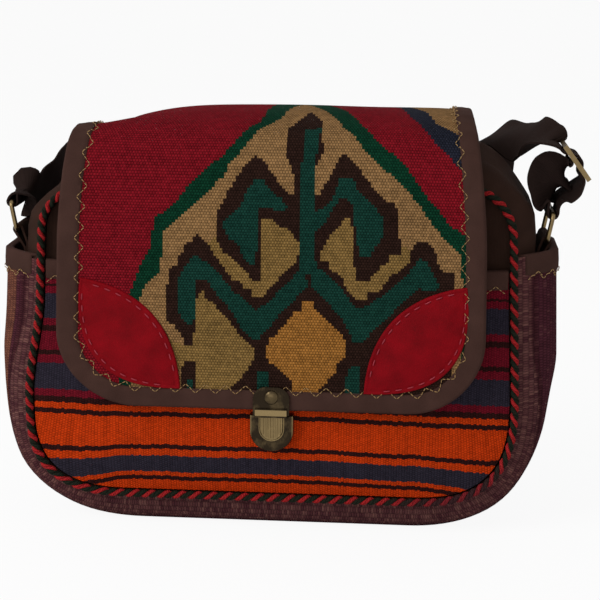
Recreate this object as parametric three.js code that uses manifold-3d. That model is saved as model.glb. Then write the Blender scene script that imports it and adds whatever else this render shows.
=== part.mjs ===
// Kilim shoulder bag, in millimetres. The origin is the middle of the face it stands on,
// +Z is up, the front faces -Y and +X is to the right as the front is seen.
import * as THREE from 'three';
import { mergeVertices } from 'three/addons/utils/BufferGeometryUtils.js';
import Module from 'manifold-3d';

const wasm = await Module();
wasm.setup();

// Cloth and cord
const CANVAS = 1.6;
const KILIM = 3;
const LINING = 1.2;
const TAPE = 1;
const LEATHER = 1.2;
const CLEARANCE = 0.3;
const PIPING_RADIUS = 3.2;

// Body: the seam outline is the same rounded shape in front and behind
const BODY_DEPTH = 90;
const SEAM_WIDTH = 304;
const SEAM_LIFT = 24;
const FRONT_TOP = 226;
const BACK_TOP = 243;
const BOTTOM_CORNER = 64;
const TOP_CORNER = 30;
const SIDE_TAPER = 2.5;
const SIDE_SWELL = 15;
const TOP_SWELL = 10.4;
const SIDE_POCKET_SWELL = 25.5;
const SIDE_POCKET_TOP = 182;
const SIDE_BINDING = 12;

// Front pocket
const POCKET_TOP = 175;
const POCKET_SWELL = 10.7;
const POCKET_RISE = 40;
const POCKET_BINDING = 11;

// Flap: sewn to the back, over the top and down the front
const FLAP_BACK_EDGE = 200;
const FLAP_FRONT_EDGE = 86;
const FLAP_HEADROOM = 20.5;
const FLAP_STANDOFF = 4;
const FLAP_BACK_WIDTH = 256;
const FLAP_FRONT_WIDTH = 269;
const FLAP_CORNER = 48;
const FLAP_BINDING = 13;

// Leather leaves on the flap's lower corners, each between two tips.
// The tips are measured in from the flap's side edge and up from its front edge.
const LEAF_OUTER_INSET = 16.5;
const LEAF_OUTER_RISE = 80;
const LEAF_INNER_INSET = 77.5;
const LEAF_INNER_RISE = 15;
const LEAF_LOWER_BOW = 24;
const LEAF_UPPER_BOW = 19;

// Tuck lock
const LOCK_WIDTH = 28;
const LOCK_HEIGHT = 24;
const LOCK_STRAIGHT = 10.5;
const LOCK_DEPTH = 6.7;
const LOCK_WALL = 0.9;
const LOCK_BEVEL = 1.6;
const BUTTON_WIDTH = 14;
const BUTTON_HEIGHT = 15.5;
const BUTTON_SKIN = 1.2;
const BUTTON_BLOCK = 2.6;
const BUTTON_PROUD = 0.8;
const BUTTON_GAP = 0.6;
const RIB_COUNT = 6;
const RIB_RADIUS = 0.7;
const POST_RADIUS = 1.5;
const POST_SPREAD = 20;
const BACK_PLATE_WIDTH = 25;
const BACK_PLATE_HEIGHT = 12;
const PLATE = 1;
const TONGUE_WIDTH = 23;
const TONGUE_HEIGHT = 16;
const TONGUE_PLATE = 1.5;
const TONGUE_CORNER = 8;
const BAR_WIDTH = 20;
const BAR_HEIGHT = 5.4;
const BAR_DEPTH = 3.4;
const BLADE_WIDTH = 10;
const BLADE_LENGTH = 6;
const BLADE_THICKNESS = 1.4;
const SCREW_HEIGHT = 9.5;
const SCREW_RADIUS = 2;
const SCREW_HEAD = 4.6;
const SCREW_DOME = 2.2;
const SPRING_WIDTH = 5;
const SPRING_LENGTH = 5.6;
const SPRING_LEAF = 0.35;

// Zip in the top, under the flap
const ZIP_TEETH_WIDTH = 6.4;
const ZIP_TEETH_HEIGHT = 2.6;
const ZIP_SLIDER_LENGTH = 10;
const ZIP_SLIDER_WALL = 1.6;
const ZIP_SLIDER_PLACE = 98;
const ZIP_BAIL = 1.4;
const ZIP_BAIL_RISE = 2.4;
const ZIP_PULL_LENGTH = 22;
const ZIP_PULL_WIDTH = 7;
const ZIP_PULL_THICKNESS = 1.2;

// Shoulder strap and its fittings
const STRAP_WIDTH = 38;
const STRAP = 2.2;
const TAB_WIDTH = 36;
const RING_WIRE = 1.5;
const RING_LENGTH = 43;
const RING_HEIGHT = 18.5;
const RING_CORNER = 3.5;
const RING_LEAN = 11;
const RING_OUT = 7.5;
const RING_RISE = 8;
const TAB_FOOT = 150;
const SLIDER_LENGTH = 27;
const SLIDER_SPAN = 45;
const SLIDER_BAR = 3;
const SLIDER_SIDE = 2.6;

const degrees = THREE.MathUtils.degToRad;
const mix = THREE.MathUtils.lerp;
const point = (x, y, z) => new THREE.Vector3(x, y, z);
const taper = degrees(SIDE_TAPER);
const halfDepth = BODY_DEPTH / 2;

// Finishes, by their look in the photograph
const finish = (color, roughness, metalness = 0) =>
  new THREE.MeshStandardMaterial({ color, roughness, metalness });
const canvas = finish('#3a2a25', 0.9);
const tape = finish('#4a342c', 0.88);
const stripes = finish('#8c2a12', 0.92);
const sideStripes = finish('#5a2426', 0.92);
const flapWeave = finish('#6e1420', 0.92);
const liningCloth = finish('#2a1c18', 0.9);
const leather = finish('#86101c', 0.55);
const cordCloth = finish('#54201e', 0.85);
const strapCloth = finish('#2a1f1d', 0.85);
const brass = finish('#8a7550', 0.35, 0.9);
const darkBrass = finish('#3c3026', 0.4, 0.85);
const steel = finish('#8f9092', 0.35, 0.95);

// A solid from its corner points and triangles, turned so that its faces look outward
function skin(points, faces) {
  let volume = 0;
  for (let i = 0; i < faces.length; i += 3) {
    const [a, b, c] = [points[faces[i]], points[faces[i + 1]], points[faces[i + 2]]];
    volume += a.dot(b.clone().cross(c));
  }
  const geometry = new THREE.BufferGeometry().setFromPoints(points);
  geometry.setIndex(volume < 0 ? faces.slice().reverse() : faces);
  geometry.computeVertexNormals();
  return geometry;
}

// A solid skinned over rings of points. A ring lists one side, then the other side backwards.
function loft(rings, closed = false) {
  const count = rings[0].length;
  const faces = [];
  const quad = (a, b, c, d) => faces.push(a, b, c, a, c, d);
  const spans = closed ? rings.length : rings.length - 1;
  for (let i = 0; i < spans; i++) {
    const here = i * count;
    const next = ((i + 1) % rings.length) * count;
    for (let j = 0; j < count; j++) {
      const k = (j + 1) % count;
      quad(here + j, here + k, next + k, next + j);
    }
  }
  const last = (rings.length - 1) * count;
  for (let j = 0; !closed && j < count / 2 - 1; j++) {
    const k = count - 1 - j;
    quad(j, k, k - 1, j + 1);
    quad(last + j, last + j + 1, last + k - 1, last + k);
  }
  return skin(rings.flat(), faces);
}

function toSolid(geometry) {
  const bare = geometry.clone();
  bare.deleteAttribute('normal');
  bare.deleteAttribute('uv');
  const welded = mergeVertices(bare, 1e-4);
  return new wasm.Manifold(new wasm.Mesh({
    numProp: 3,
    vertProperties: new Float32Array(welded.attributes.position.array),
    triVerts: new Uint32Array(welded.index.array),
  }));
}

function fromSolid(solid) {
  const mesh = solid.getMesh();
  const geometry = new THREE.BufferGeometry();
  geometry.setAttribute('position', new THREE.BufferAttribute(mesh.vertProperties, 3));
  geometry.setIndex(new THREE.BufferAttribute(mesh.triVerts, 1));
  geometry.computeVertexNormals();
  return geometry;
}

const carve = (body, ...tools) =>
  fromSolid(tools.reduce((solid, tool) => solid.subtract(toSolid(tool)), toSolid(body)));
const join = (...bodies) =>
  fromSolid(bodies.map(toSolid).reduce((solid, next) => solid.add(next)));

// A shape drawn as the front shows it, x to the right and z up, given thickness backward from y
function plate(shape, y, thickness, options = {}) {
  const geometry = new THREE.ExtrudeGeometry(shape, {
    depth: thickness, bevelEnabled: false, curveSegments: 10, ...options,
  });
  return geometry.rotateX(Math.PI / 2).translate(0, y + thickness, 0);
}

function box(x0, x1, y0, y1, z0, z1) {
  return new THREE.BoxGeometry(x1 - x0, y1 - y0, z1 - z0)
    .translate((x0 + x1) / 2, (y0 + y1) / 2, (z0 + z1) / 2);
}

// A round bar along Y
function rod(radius, x, z, y0, y1) {
  return new THREE.CylinderGeometry(radius, radius, y1 - y0, 16)
    .translate(0, (y0 + y1) / 2, 0)
    .translate(x, 0, z);
}

function part(name, geometry, material) {
  const mesh = new THREE.Mesh(geometry, material);
  mesh.name = name;
  return mesh;
}

// Seam outline: each side has a bottom corner arc, a leaning straight run and a top corner arc
const lowCentre = { x: SEAM_WIDTH / 2 - BOTTOM_CORNER, z: SEAM_LIFT + BOTTOM_CORNER };
const sideReach =
  lowCentre.x * Math.cos(taper) + lowCentre.z * Math.sin(taper) + BOTTOM_CORNER;
const sideX = (z) => (sideReach - z * Math.sin(taper)) / Math.cos(taper);

function highCentre(top) {
  const z = top - TOP_CORNER;
  return { x: (sideReach - TOP_CORNER - z * Math.sin(taper)) / Math.cos(taper), z };
}

const arcPoint = (centre, radius, angle) => ({
  x: centre.x + radius * Math.cos(angle),
  z: centre.z + radius * Math.sin(angle),
});

// Swell of the gusset and of the striped cloth outside it, at the bottom and at the sides
const BOTTOM_FLAT = 0.65;
const SIDE_FLAT = 0.4;
const bottomStripSwell = SEAM_LIFT - KILIM - CLEARANCE - CANVAS;
const bottomSwell = bottomStripSwell - CLEARANCE;
const swellShape = (u, flat) => 1 - (Math.max(0, Math.abs(u) - flat) / (1 - flat)) ** 2;

function lowStation(share) {
  const angle = mix(-Math.PI / 2, taper, share);
  const ease = THREE.MathUtils.smoothstep(share, 0, 1);
  return {
    angle,
    at: () => arcPoint(lowCentre, BOTTOM_CORNER, angle),
    swell: mix(bottomSwell, SIDE_SWELL, ease),
    stripSwell: mix(bottomStripSwell, SIDE_POCKET_SWELL, ease),
    flat: mix(BOTTOM_FLAT, SIDE_FLAT, ease),
  };
}

function sideStation(z) {
  return {
    angle: taper,
    at: () => ({ x: sideX(z), z }),
    swell: SIDE_SWELL,
    stripSwell: SIDE_POCKET_SWELL,
    flat: SIDE_FLAT,
  };
}

function highStation(share) {
  const angle = mix(taper, Math.PI / 2, share);
  return {
    angle,
    at: (top) => arcPoint(highCentre(top), TOP_CORNER, angle),
    swell: mix(SIDE_SWELL, TOP_SWELL, share),
    flat: SIDE_FLAT,
  };
}

// A point on the gusset: u runs from the front seam, -1, to the back seam, 1
function gussetPoint(station, side, u, out) {
  const front = station.at(FRONT_TOP);
  const back = station.at(BACK_TOP);
  const share = (u + 1) / 2;
  const x = mix(front.x, back.x, share) + Math.cos(station.angle) * out;
  const z = mix(front.z, back.z, share) + Math.sin(station.angle) * out;
  return point(side * x, u * halfDepth, z);
}

const BINDING_END = 0.92;
const WITHIN = [-BINDING_END, -0.85, -0.65, -0.4, 0.4, 0.65, 0.85, BINDING_END];
const ACROSS = [-1, ...WITHIN, 1];
const steps = (count) => Array.from({ length: count + 1 }, (unused, i) => i / count);
const gussetOut = (station, u) => CANVAS + station.swell * swellShape(u, station.flat);
const stripIn = (station, u) =>
  CANVAS + CLEARANCE + station.stripSwell * swellShape(u, station.flat);

// A band round the body: stations go from the bottom to the top of one side
function band(stations, inner, outer) {
  const ring = (station, side) => [
    ...ACROSS.map((u) => gussetPoint(station, side, u, outer(station, u))),
    ...ACROSS.slice().reverse().map((u) => gussetPoint(station, side, u, inner(station, u))),
  ];
  const left = stations.map((station) => ring(station, -1)).reverse();
  const right = stations.map((station) => ring(station, 1));
  return loft([...left, ...right]);
}

const lowStations = steps(8).map(lowStation);

function gusset() {
  const stations = [...lowStations, sideStation(130), sideStation(175), ...steps(6).map(highStation)];
  const geometry = band(stations, (s, u) => gussetOut(s, u) - CANVAS, gussetOut);
  return part('gusset', geometry, canvas);
}

function sideAndBottomStrip() {
  const stations = [...lowStations, sideStation(120), sideStation(150), sideStation(SIDE_POCKET_TOP)];
  const geometry = band(stations, stripIn, (s, u) => stripIn(s, u) + KILIM);
  return part('side_bottom_kilim', geometry, sideStripes);
}

// A tape folded over a cloth edge: two legs and the fold between them
const foldOver = (legA, foldA, foldB, legB, inLegB, inFoldB, inFoldA, inLegA) =>
  [legA, foldA, foldB, legB, inLegB, inFoldB, inFoldA, inLegA];

function sidePocketBinding(side, name) {
  const station = sideStation(SIDE_POCKET_TOP);
  const top = SIDE_POCKET_TOP + CLEARANCE;
  const foot = SIDE_POCKET_TOP - SIDE_BINDING;
  const rings = WITHIN.map((u) => {
    const near = stripIn(station, u) - CLEARANCE;
    const far = stripIn(station, u) + KILIM + CLEARANCE;
    const at = (out, z) => gussetPoint(sideStation(z), side, u, out);
    return foldOver(
      at(far + TAPE, foot), at(far + TAPE, top + TAPE), at(near - TAPE, top + TAPE), at(near - TAPE, foot),
      at(near, foot), at(near, top), at(far, top), at(far, foot),
    );
  });
  return part(name, loft(rings), tape);
}

// Flat panels inside the seam outline
function panelShape(top, inset) {
  const high = highCentre(top);
  const shape = new THREE.Shape();
  shape.absarc(lowCentre.x, lowCentre.z, BOTTOM_CORNER - inset, -Math.PI / 2, taper);
  shape.absarc(high.x, high.z, TOP_CORNER - inset, taper, Math.PI / 2);
  shape.absarc(-high.x, high.z, TOP_CORNER - inset, Math.PI / 2, Math.PI - taper);
  shape.absarc(-lowCentre.x, lowCentre.z, BOTTOM_CORNER - inset, Math.PI - taper, Math.PI * 1.5);
  return shape;
}

// The front panel is set back to leave room for the pocket's binding
const panelFace = -halfDepth + TAPE + 2 * CLEARANCE;
const frontPanel = () =>
  part('front_panel', plate(panelShape(FRONT_TOP, CLEARANCE), panelFace, CANVAS), canvas);
const backPanel = () =>
  part('back_panel', plate(panelShape(BACK_TOP, CLEARANCE), halfDepth - KILIM, KILIM), canvas);

// Piping cord: lies on the front or back of the seam, just outside the panels
const pipingOut = 2;
const pipingInset = PIPING_RADIUS - pipingOut + CLEARANCE;

function pipingRing(centre, radius, angle, side, y) {
  const out = point(side * Math.cos(angle), 0, Math.sin(angle));
  const along = point(0, 1, 0);
  const spot = arcPoint(centre, radius + pipingOut, angle);
  return steps(8).slice(0, 8).map((turn) => {
    const roll = turn * 2 * Math.PI;
    return point(side * spot.x, y, spot.z)
      .addScaledVector(out, PIPING_RADIUS * Math.cos(roll))
      .addScaledVector(along, PIPING_RADIUS * Math.sin(roll));
  });
}

function pipingSide(top, endAngle, side, y) {
  const low = steps(8).map((f) => mix(-Math.PI / 2, taper, f));
  const high = steps(6).map((f) => mix(taper, endAngle, f));
  return [
    ...low.map((angle) => pipingRing(lowCentre, BOTTOM_CORNER, angle, side, y)),
    ...high.map((angle) => pipingRing(highCentre(top), TOP_CORNER, angle, side, y)),
  ];
}

const pipingY = halfDepth + CLEARANCE + PIPING_RADIUS;

function frontPiping() {
  const right = pipingSide(FRONT_TOP, Math.PI / 2, 1, -pipingY);
  const left = pipingSide(FRONT_TOP, Math.PI / 2, -1, -pipingY).reverse();
  return part('front_piping', loft([...right, ...left], true), cordCloth);
}

// Behind, the piping stops where the flap is sewn across the top
const BACK_PIPING_END = 60;
function backPiping() {
  const end = degrees(BACK_PIPING_END);
  const right = pipingSide(BACK_TOP, end, 1, pipingY);
  const left = pipingSide(BACK_TOP, end, -1, pipingY).reverse();
  return part('back_piping', loft([...left, ...right]), cordCloth);
}

// Front pocket: swells forward from its sewn edge; the top edge is the mouth
const pocketBase = -(halfDepth + CLEARANCE + KILIM);
const pocketFace = pocketBase - POCKET_SWELL;
const POCKET_FLAT = 0.45;
const POCKET_ACROSS = [-1, -0.87, -0.7, -0.45, 0.45, 0.7, 0.87, 1];

function pocketFront(across, z) {
  const rise = Math.min(1, (z - SEAM_LIFT - pipingInset) / POCKET_RISE);
  return pocketBase - POCKET_SWELL * swellShape(across, POCKET_FLAT) * (1 - (1 - rise) ** 2);
}

function pocketLevels() {
  const radius = BOTTOM_CORNER - pipingInset;
  const round = steps(8).map((f) => arcPoint(lowCentre, radius, mix(-Math.PI / 2, taper, f)));
  const straight = [115, 145, POCKET_TOP].map((z) => ({ x: sideX(z) - pipingInset, z }));
  return [...round, ...straight];
}

function frontPocket(lock) {
  const rings = pocketLevels().map(({ x, z }) => [
    ...POCKET_ACROSS.map((c) => point(c * x, pocketFront(c, z), z)),
    ...POCKET_ACROSS.slice().reverse().map((c) => point(c * x, pocketFront(c, z) + KILIM, z)),
  ]);
  const holes = lock.posts.map((x) =>
    rod(POST_RADIUS + CLEARANCE, x, lock.postZ, pocketFace - KILIM, pocketFace + 3 * KILIM));
  return part('front_pocket', carve(loft(rings), ...holes), stripes);
}

function frontPocketBinding() {
  const half = sideX(POCKET_TOP) - pipingInset;
  const top = POCKET_TOP + CLEARANCE;
  const foot = POCKET_TOP - POCKET_BINDING;
  const rings = POCKET_ACROSS.map((c) => {
    const front = pocketFront(c, POCKET_TOP) - CLEARANCE;
    const back = front + KILIM + 2 * CLEARANCE;
    const at = (y, z) => point(c * half, y, z);
    return foldOver(
      at(front - TAPE, foot), at(front - TAPE, top + TAPE), at(back + TAPE, top + TAPE), at(back + TAPE, foot),
      at(back, foot), at(back, top), at(front, top), at(front, foot),
    );
  });
  return part('front_pocket_binding', loft(rings), tape);
}

// Flap: its path is the lining's inner face, as the side view shows it
const domeTop = (FRONT_TOP + BACK_TOP) / 2 + CANVAS + TOP_SWELL;
const flapTop = domeTop + FLAP_HEADROOM;
const flapBack = halfDepth + TAPE + 2 * CLEARANCE;
const flapFront = pocketFace - FLAP_STANDOFF;
const flapStraight = FRONT_TOP - 50;

function flapCurve() {
  const knots = [
    [flapBack, FLAP_BACK_EDGE],
    [flapBack, BACK_TOP - 22],
    [flapBack + 0.6, BACK_TOP + 1],
    [halfDepth * 0.86, mix(BACK_TOP, flapTop, 0.62)],
    [halfDepth * 0.5, flapTop - 1.2],
    [0, flapTop],
    [-halfDepth * 0.55, flapTop - 2.5],
    [flapFront * 0.76, mix(FRONT_TOP, flapTop, 0.7)],
    [flapFront * 0.93, mix(FRONT_TOP, flapTop, 0.3)],
    [flapFront * 0.99, FRONT_TOP - 15],
    [flapFront, flapStraight],
  ];
  const curve = new THREE.CatmullRomCurve3(knots.map(([y, z]) => point(0, y, z)));
  return curve.getPoints(34);
}

// Rows along the flap: place, outward normal, run direction and half width
function flapRows(inset) {
  const places = flapCurve();
  const radius = FLAP_CORNER - inset;
  const edge = FLAP_FRONT_EDGE + inset;
  steps(8).forEach((f) => {
    places.push(point(0, flapFront, edge + radius * (1 - Math.sin(f * Math.PI / 2))));
  });
  const lengths = [0];
  for (let i = 1; i < places.length; i++) {
    lengths.push(lengths[i - 1] + places[i].distanceTo(places[i - 1]));
  }
  return places.map((place, i) => {
    const before = places[Math.max(0, i - 1)];
    const after = places[Math.min(places.length - 1, i + 1)];
    const run = after.clone().sub(before).normalize();
    const share = lengths[i] / lengths[lengths.length - 1];
    const full = mix(FLAP_BACK_WIDTH, FLAP_FRONT_WIDTH, share) / 2 - inset;
    const away = Math.max(0, radius - (place.z - edge));
    const bottom = place.y === flapFront && place.z <= edge + radius;
    const half = bottom ? full - radius + Math.sqrt(radius ** 2 - away ** 2) : full;
    const turn = bottom ? Math.asin(away / radius) : 0;
    return { place, run, normal: point(0, run.z, -run.y), half, turn };
  });
}

const flapPoint = (row, x, out) =>
  point(x, row.place.y, row.place.z).addScaledVector(row.normal, out);

function flapLayer(name, inner, outer, material, screw) {
  const rings = flapRows(TAPE + CLEARANCE).map((row) => [
    flapPoint(row, -row.half, outer),
    flapPoint(row, row.half, outer),
    flapPoint(row, row.half, inner),
    flapPoint(row, -row.half, inner),
  ]);
  return part(name, carve(loft(rings), screw), material);
}

const flapFace = LINING + CLEARANCE + KILIM;

function flapBinding(screw) {
  const low = -TAPE - CLEARANCE;
  const high = flapFace + CLEARANCE + TAPE;
  const ring = (row, side) => {
    const inward = point(-side * Math.cos(row.turn), 0, 0)
      .addScaledVector(row.run, -Math.sin(row.turn));
    const at = (reach, out) =>
      flapPoint(row, side * row.half, out).addScaledVector(inward, reach);
    return foldOver(
      at(FLAP_BINDING, high), at(0, high), at(0, low), at(FLAP_BINDING, low),
      at(FLAP_BINDING, low + TAPE), at(TAPE, low + TAPE), at(TAPE, high - TAPE), at(FLAP_BINDING, high - TAPE),
    );
  };
  const rows = flapRows(0);
  const left = rows.map((row) => ring(row, -1));
  const right = rows.map((row) => ring(row, 1)).reverse();
  return part('flap_binding', carve(loft([...left, ...right]), screw), tape);
}

// Leaf patch: two arcs between its tips
function leafPatch(side, name) {
  const tip = (inset, rise) =>
    new THREE.Vector2(FLAP_FRONT_WIDTH / 2 - inset, FLAP_FRONT_EDGE + rise);
  const outer = tip(LEAF_OUTER_INSET, LEAF_OUTER_RISE);
  const inner = tip(LEAF_INNER_INSET, LEAF_INNER_RISE);
  const chord = inner.clone().sub(outer);
  const lower = new THREE.Vector2(-chord.y, chord.x).normalize();
  const arc = (from, to, bow) => steps(12).map((f) =>
    from.clone().lerp(to, f).addScaledVector(lower, bow * 4 * f * (1 - f)));
  const line = [
    ...arc(outer, inner, LEAF_LOWER_BOW),
    ...arc(inner, outer, -LEAF_UPPER_BOW).slice(1, -1),
  ];
  const shape = new THREE.Shape(line.map((p) => new THREE.Vector2(side * p.x, p.y)));
  const back = flapFront - flapFace - CLEARANCE;
  return part(name, plate(shape, back - LEATHER, LEATHER), leather);
}

// Tuck lock: all its places follow from the flap's edge and the pocket's face
function lockLayout() {
  const tongueBack = flapFront - flapFace - TAPE - 2 * CLEARANCE;
  const barBase = FLAP_FRONT_EDGE - 2 * CLEARANCE - BAR_HEIGHT / 2;
  const top = barBase - CLEARANCE;
  const back = pocketFace - CLEARANCE;
  const front = back - LOCK_DEPTH;
  return {
    top, back, front, tongueBack, barBase,
    posts: [-POST_SPREAD / 2, POST_SPREAD / 2],
    postZ: top - 9,
    wall: back - LOCK_WALL,
    bladeFront: back - LOCK_WALL - CLEARANCE - BLADE_THICKNESS,
    screwZ: FLAP_FRONT_EDGE + SCREW_HEIGHT,
  };
}

function lockShape(grow) {
  const half = LOCK_WIDTH / 2 + grow;
  const shape = new THREE.Shape();
  shape.moveTo(half, grow);
  shape.lineTo(-half, grow);
  shape.lineTo(-half, -LOCK_STRAIGHT);
  shape.absellipse(0, -LOCK_STRAIGHT, half, LOCK_HEIGHT - LOCK_STRAIGHT + grow, Math.PI, 2 * Math.PI);
  return shape;
}

// The button's outline: square at the top and round below
function buttonShape(grow) {
  const half = BUTTON_WIDTH / 2 + grow;
  const shape = new THREE.Shape();
  shape.moveTo(half, 0);
  shape.lineTo(-half, 0);
  shape.absarc(0, -BUTTON_HEIGHT + BUTTON_WIDTH / 2, half, Math.PI, 2 * Math.PI);
  return shape;
}

function lockBody(lock) {
  const block = plate(lockShape(-LOCK_BEVEL), lock.front + LOCK_BEVEL, LOCK_DEPTH - LOCK_BEVEL, {
    bevelEnabled: true, bevelThickness: LOCK_BEVEL, bevelSize: LOCK_BEVEL, bevelSegments: 2,
  });
  const keep = box(-LOCK_WIDTH, LOCK_WIDTH, lock.front - 1, lock.back, -2 * LOCK_HEIGHT, 0);
  const cut = toSolid(block).intersect(toSolid(keep));
  const well = plate(buttonShape(BUTTON_GAP), lock.front - 1, lock.wall - lock.front + 1);
  const slot = box(
    -BLADE_WIDTH / 2 - CLEARANCE, BLADE_WIDTH / 2 + CLEARANCE,
    lock.bladeFront - CLEARANCE, lock.wall, -BLADE_LENGTH, 1,
  );
  const posts = lock.posts.map((x) =>
    rod(POST_RADIUS, x, lock.postZ - lock.top, lock.back - 1, lock.back + KILIM + 4 * CLEARANCE + PLATE));
  const body = carve(join(fromSolid(cut), ...posts), well, slot);
  return part('lock_body', body.translate(0, 0, lock.top), brass);
}

// The button has a thin face over the tongue's blade and a thicker block below it
function lockButton(lock) {
  const face = lock.front - BUTTON_PROUD;
  const skinPlate = plate(buttonShape(0), face, BUTTON_SKIN);
  const block = plate(buttonShape(-0.4), face, BUTTON_BLOCK);
  const above = box(-BUTTON_WIDTH, BUTTON_WIDTH, lock.front - 9, lock.back, -BLADE_LENGTH - 1, 9);
  const ribs = steps(RIB_COUNT - 1).map((f) => {
    const x = mix(-BUTTON_WIDTH / 2 + 1.6, BUTTON_WIDTH / 2 - 1.6, f);
    const round = BUTTON_WIDTH / 2;
    const foot = -BUTTON_HEIGHT + round - Math.sqrt(round ** 2 - x ** 2) + 1;
    return new THREE.CylinderGeometry(RIB_RADIUS, RIB_RADIUS, -foot - 0.6, 8)
      .rotateX(Math.PI / 2)
      .translate(x, face, (foot - 0.6) / 2);
  });
  const body = join(skinPlate, carve(block, above), ...ribs);
  return part('lock_button', body.translate(0, 0, lock.top - CLEARANCE), brass);
}

// Bowed leaf spring between the button's block and the lock's back wall
function lockSpring(lock) {
  const room = lock.wall - (lock.front - BUTTON_PROUD + BUTTON_BLOCK) - 2 * CLEARANCE - SPRING_LEAF;
  const rings = steps(10).map((f) => {
    const y = lock.wall - CLEARANCE - room * Math.sin(f * Math.PI);
    const z = lock.top - CLEARANCE - BLADE_LENGTH - 2 - SPRING_LENGTH * f;
    const half = SPRING_WIDTH / 2;
    const near = y - SPRING_LEAF;
    return [point(-half, near, z), point(half, near, z), point(half, y, z), point(-half, y, z)];
  });
  return part('lock_spring', loft(rings), steel);
}

function lockBackPlate(lock) {
  const front = lock.back + KILIM + 2 * CLEARANCE;
  const plateBox = box(
    -BACK_PLATE_WIDTH / 2, BACK_PLATE_WIDTH / 2, front, front + PLATE,
    lock.postZ - BACK_PLATE_HEIGHT / 2, lock.postZ + BACK_PLATE_HEIGHT / 2,
  );
  const holes = lock.posts.map((x) =>
    rod(POST_RADIUS + CLEARANCE, x, lock.postZ, front - 1, front + PLATE + 1));
  return part('lock_back_plate', carve(plateBox, ...holes), steel);
}

// Tongue: a plate on the flap, a bar below it and a blade that enters the lock
function lockTongue(lock) {
  const half = TONGUE_WIDTH / 2;
  const high = FLAP_FRONT_EDGE + TONGUE_HEIGHT;
  const shape = new THREE.Shape();
  shape.moveTo(-half, lock.barBase + 1);
  shape.lineTo(half, lock.barBase + 1);
  shape.absarc(half - TONGUE_CORNER, high - TONGUE_CORNER, TONGUE_CORNER, 0, Math.PI / 2);
  shape.absarc(TONGUE_CORNER - half, high - TONGUE_CORNER, TONGUE_CORNER, Math.PI / 2, Math.PI);
  const face = plate(shape, lock.tongueBack - TONGUE_PLATE, TONGUE_PLATE);
  const bar = box(
    -BAR_WIDTH / 2, BAR_WIDTH / 2, lock.tongueBack - BAR_DEPTH, lock.tongueBack,
    lock.barBase, lock.barBase + BAR_HEIGHT,
  );
  const bladeBack = lock.bladeFront + BLADE_THICKNESS;
  const web = box(
    -BLADE_WIDTH / 2, BLADE_WIDTH / 2, lock.tongueBack - 1, bladeBack,
    lock.barBase, FLAP_FRONT_EDGE - CLEARANCE,
  );
  const blade = box(
    -BLADE_WIDTH / 2, BLADE_WIDTH / 2, lock.bladeFront, bladeBack,
    lock.top - BLADE_LENGTH + CLEARANCE, lock.barBase + 1,
  );
  const hole = rod(SCREW_RADIUS + CLEARANCE, 0, lock.screwZ, lock.tongueBack - 9, lock.tongueBack + 9);
  return part('lock_tongue', carve(join(face, bar, web, blade), hole), darkBrass);
}

const washerFront = flapFront + TAPE + 2 * CLEARANCE;

function tongueScrew(lock) {
  const head = lock.tongueBack - TONGUE_PLATE - CLEARANCE;
  const dome = steps(6).map((f) => new THREE.Vector2(
    SCREW_HEAD * Math.sin(f * Math.PI / 2), SCREW_DOME * Math.cos(f * Math.PI / 2)));
  dome[0].x = 0;
  const shank = -(washerFront + PLATE - head);
  const outline = [
    ...dome, new THREE.Vector2(SCREW_RADIUS, 0), new THREE.Vector2(SCREW_RADIUS, shank),
    new THREE.Vector2(0, shank),
  ];
  const turned = new THREE.LatheGeometry(outline.reverse(), 20).rotateX(Math.PI);
  return part('tongue_screw', turned.translate(0, head, lock.screwZ), darkBrass);
}

function tongueWasher(lock) {
  const ring = rod(SCREW_HEAD, 0, lock.screwZ, washerFront, washerFront + PLATE);
  const hole = rod(SCREW_RADIUS + CLEARANCE, 0, lock.screwZ, washerFront - 1, washerFront + 2);
  return part('tongue_washer', carve(ring, hole), steel);
}

// Zip: two tapes carry on the gusset across the top, with the closed teeth between them
const zipHalf = highCentre(BACK_TOP).x - CLEARANCE;

function zipTape(name, stations) {
  const end = (x) => {
    const high = highStation(1);
    const at = (u, out) => gussetPoint(high, 1, u, out).setX(x);
    return [
      ...stations.map((u) => at(u, gussetOut(high, u))),
      ...stations.slice().reverse().map((u) => at(u, gussetOut(high, u) - LINING)),
    ];
  };
  return part(name, loft([end(-zipHalf), end(zipHalf)]), tape);
}

const zipEdge = (ZIP_TEETH_WIDTH / 2 + CLEARANCE) / halfDepth;

function zipTeeth() {
  const teeth = box(
    -zipHalf + 3, zipHalf - 3, -ZIP_TEETH_WIDTH / 2, ZIP_TEETH_WIDTH / 2,
    -ZIP_TEETH_HEIGHT / 2 - LINING / 2, ZIP_TEETH_HEIGHT / 2 - LINING / 2,
  );
  return part('zip_teeth', teeth, darkBrass);
}

const zipRide = (ZIP_TEETH_HEIGHT - LINING) / 2 + CLEARANCE;

// The slider rides on the teeth and carries a bail for the pull
function zipSlider() {
  const half = ZIP_SLIDER_LENGTH / 2;
  const wide = ZIP_TEETH_WIDTH / 2 + CLEARANCE + ZIP_SLIDER_WALL;
  const inner = ZIP_TEETH_WIDTH / 2 + CLEARANCE;
  const deck = zipRide + ZIP_SLIDER_WALL;
  const cover = box(-half, half, -wide, wide, CLEARANCE, deck);
  const channel = box(-half - 1, half + 1, -inner, inner, -1, zipRide);
  const bailTop = deck + ZIP_BAIL_RISE + ZIP_BAIL;
  const bail = box(-4, 4, -ZIP_BAIL / 2, ZIP_BAIL / 2, deck - 0.5, bailTop);
  const window = box(-4 + ZIP_BAIL, 4 - ZIP_BAIL, -wide, wide, deck, deck + ZIP_BAIL_RISE);
  return part('zip_slider', join(carve(cover, channel), carve(bail, window)), darkBrass);
}

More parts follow.
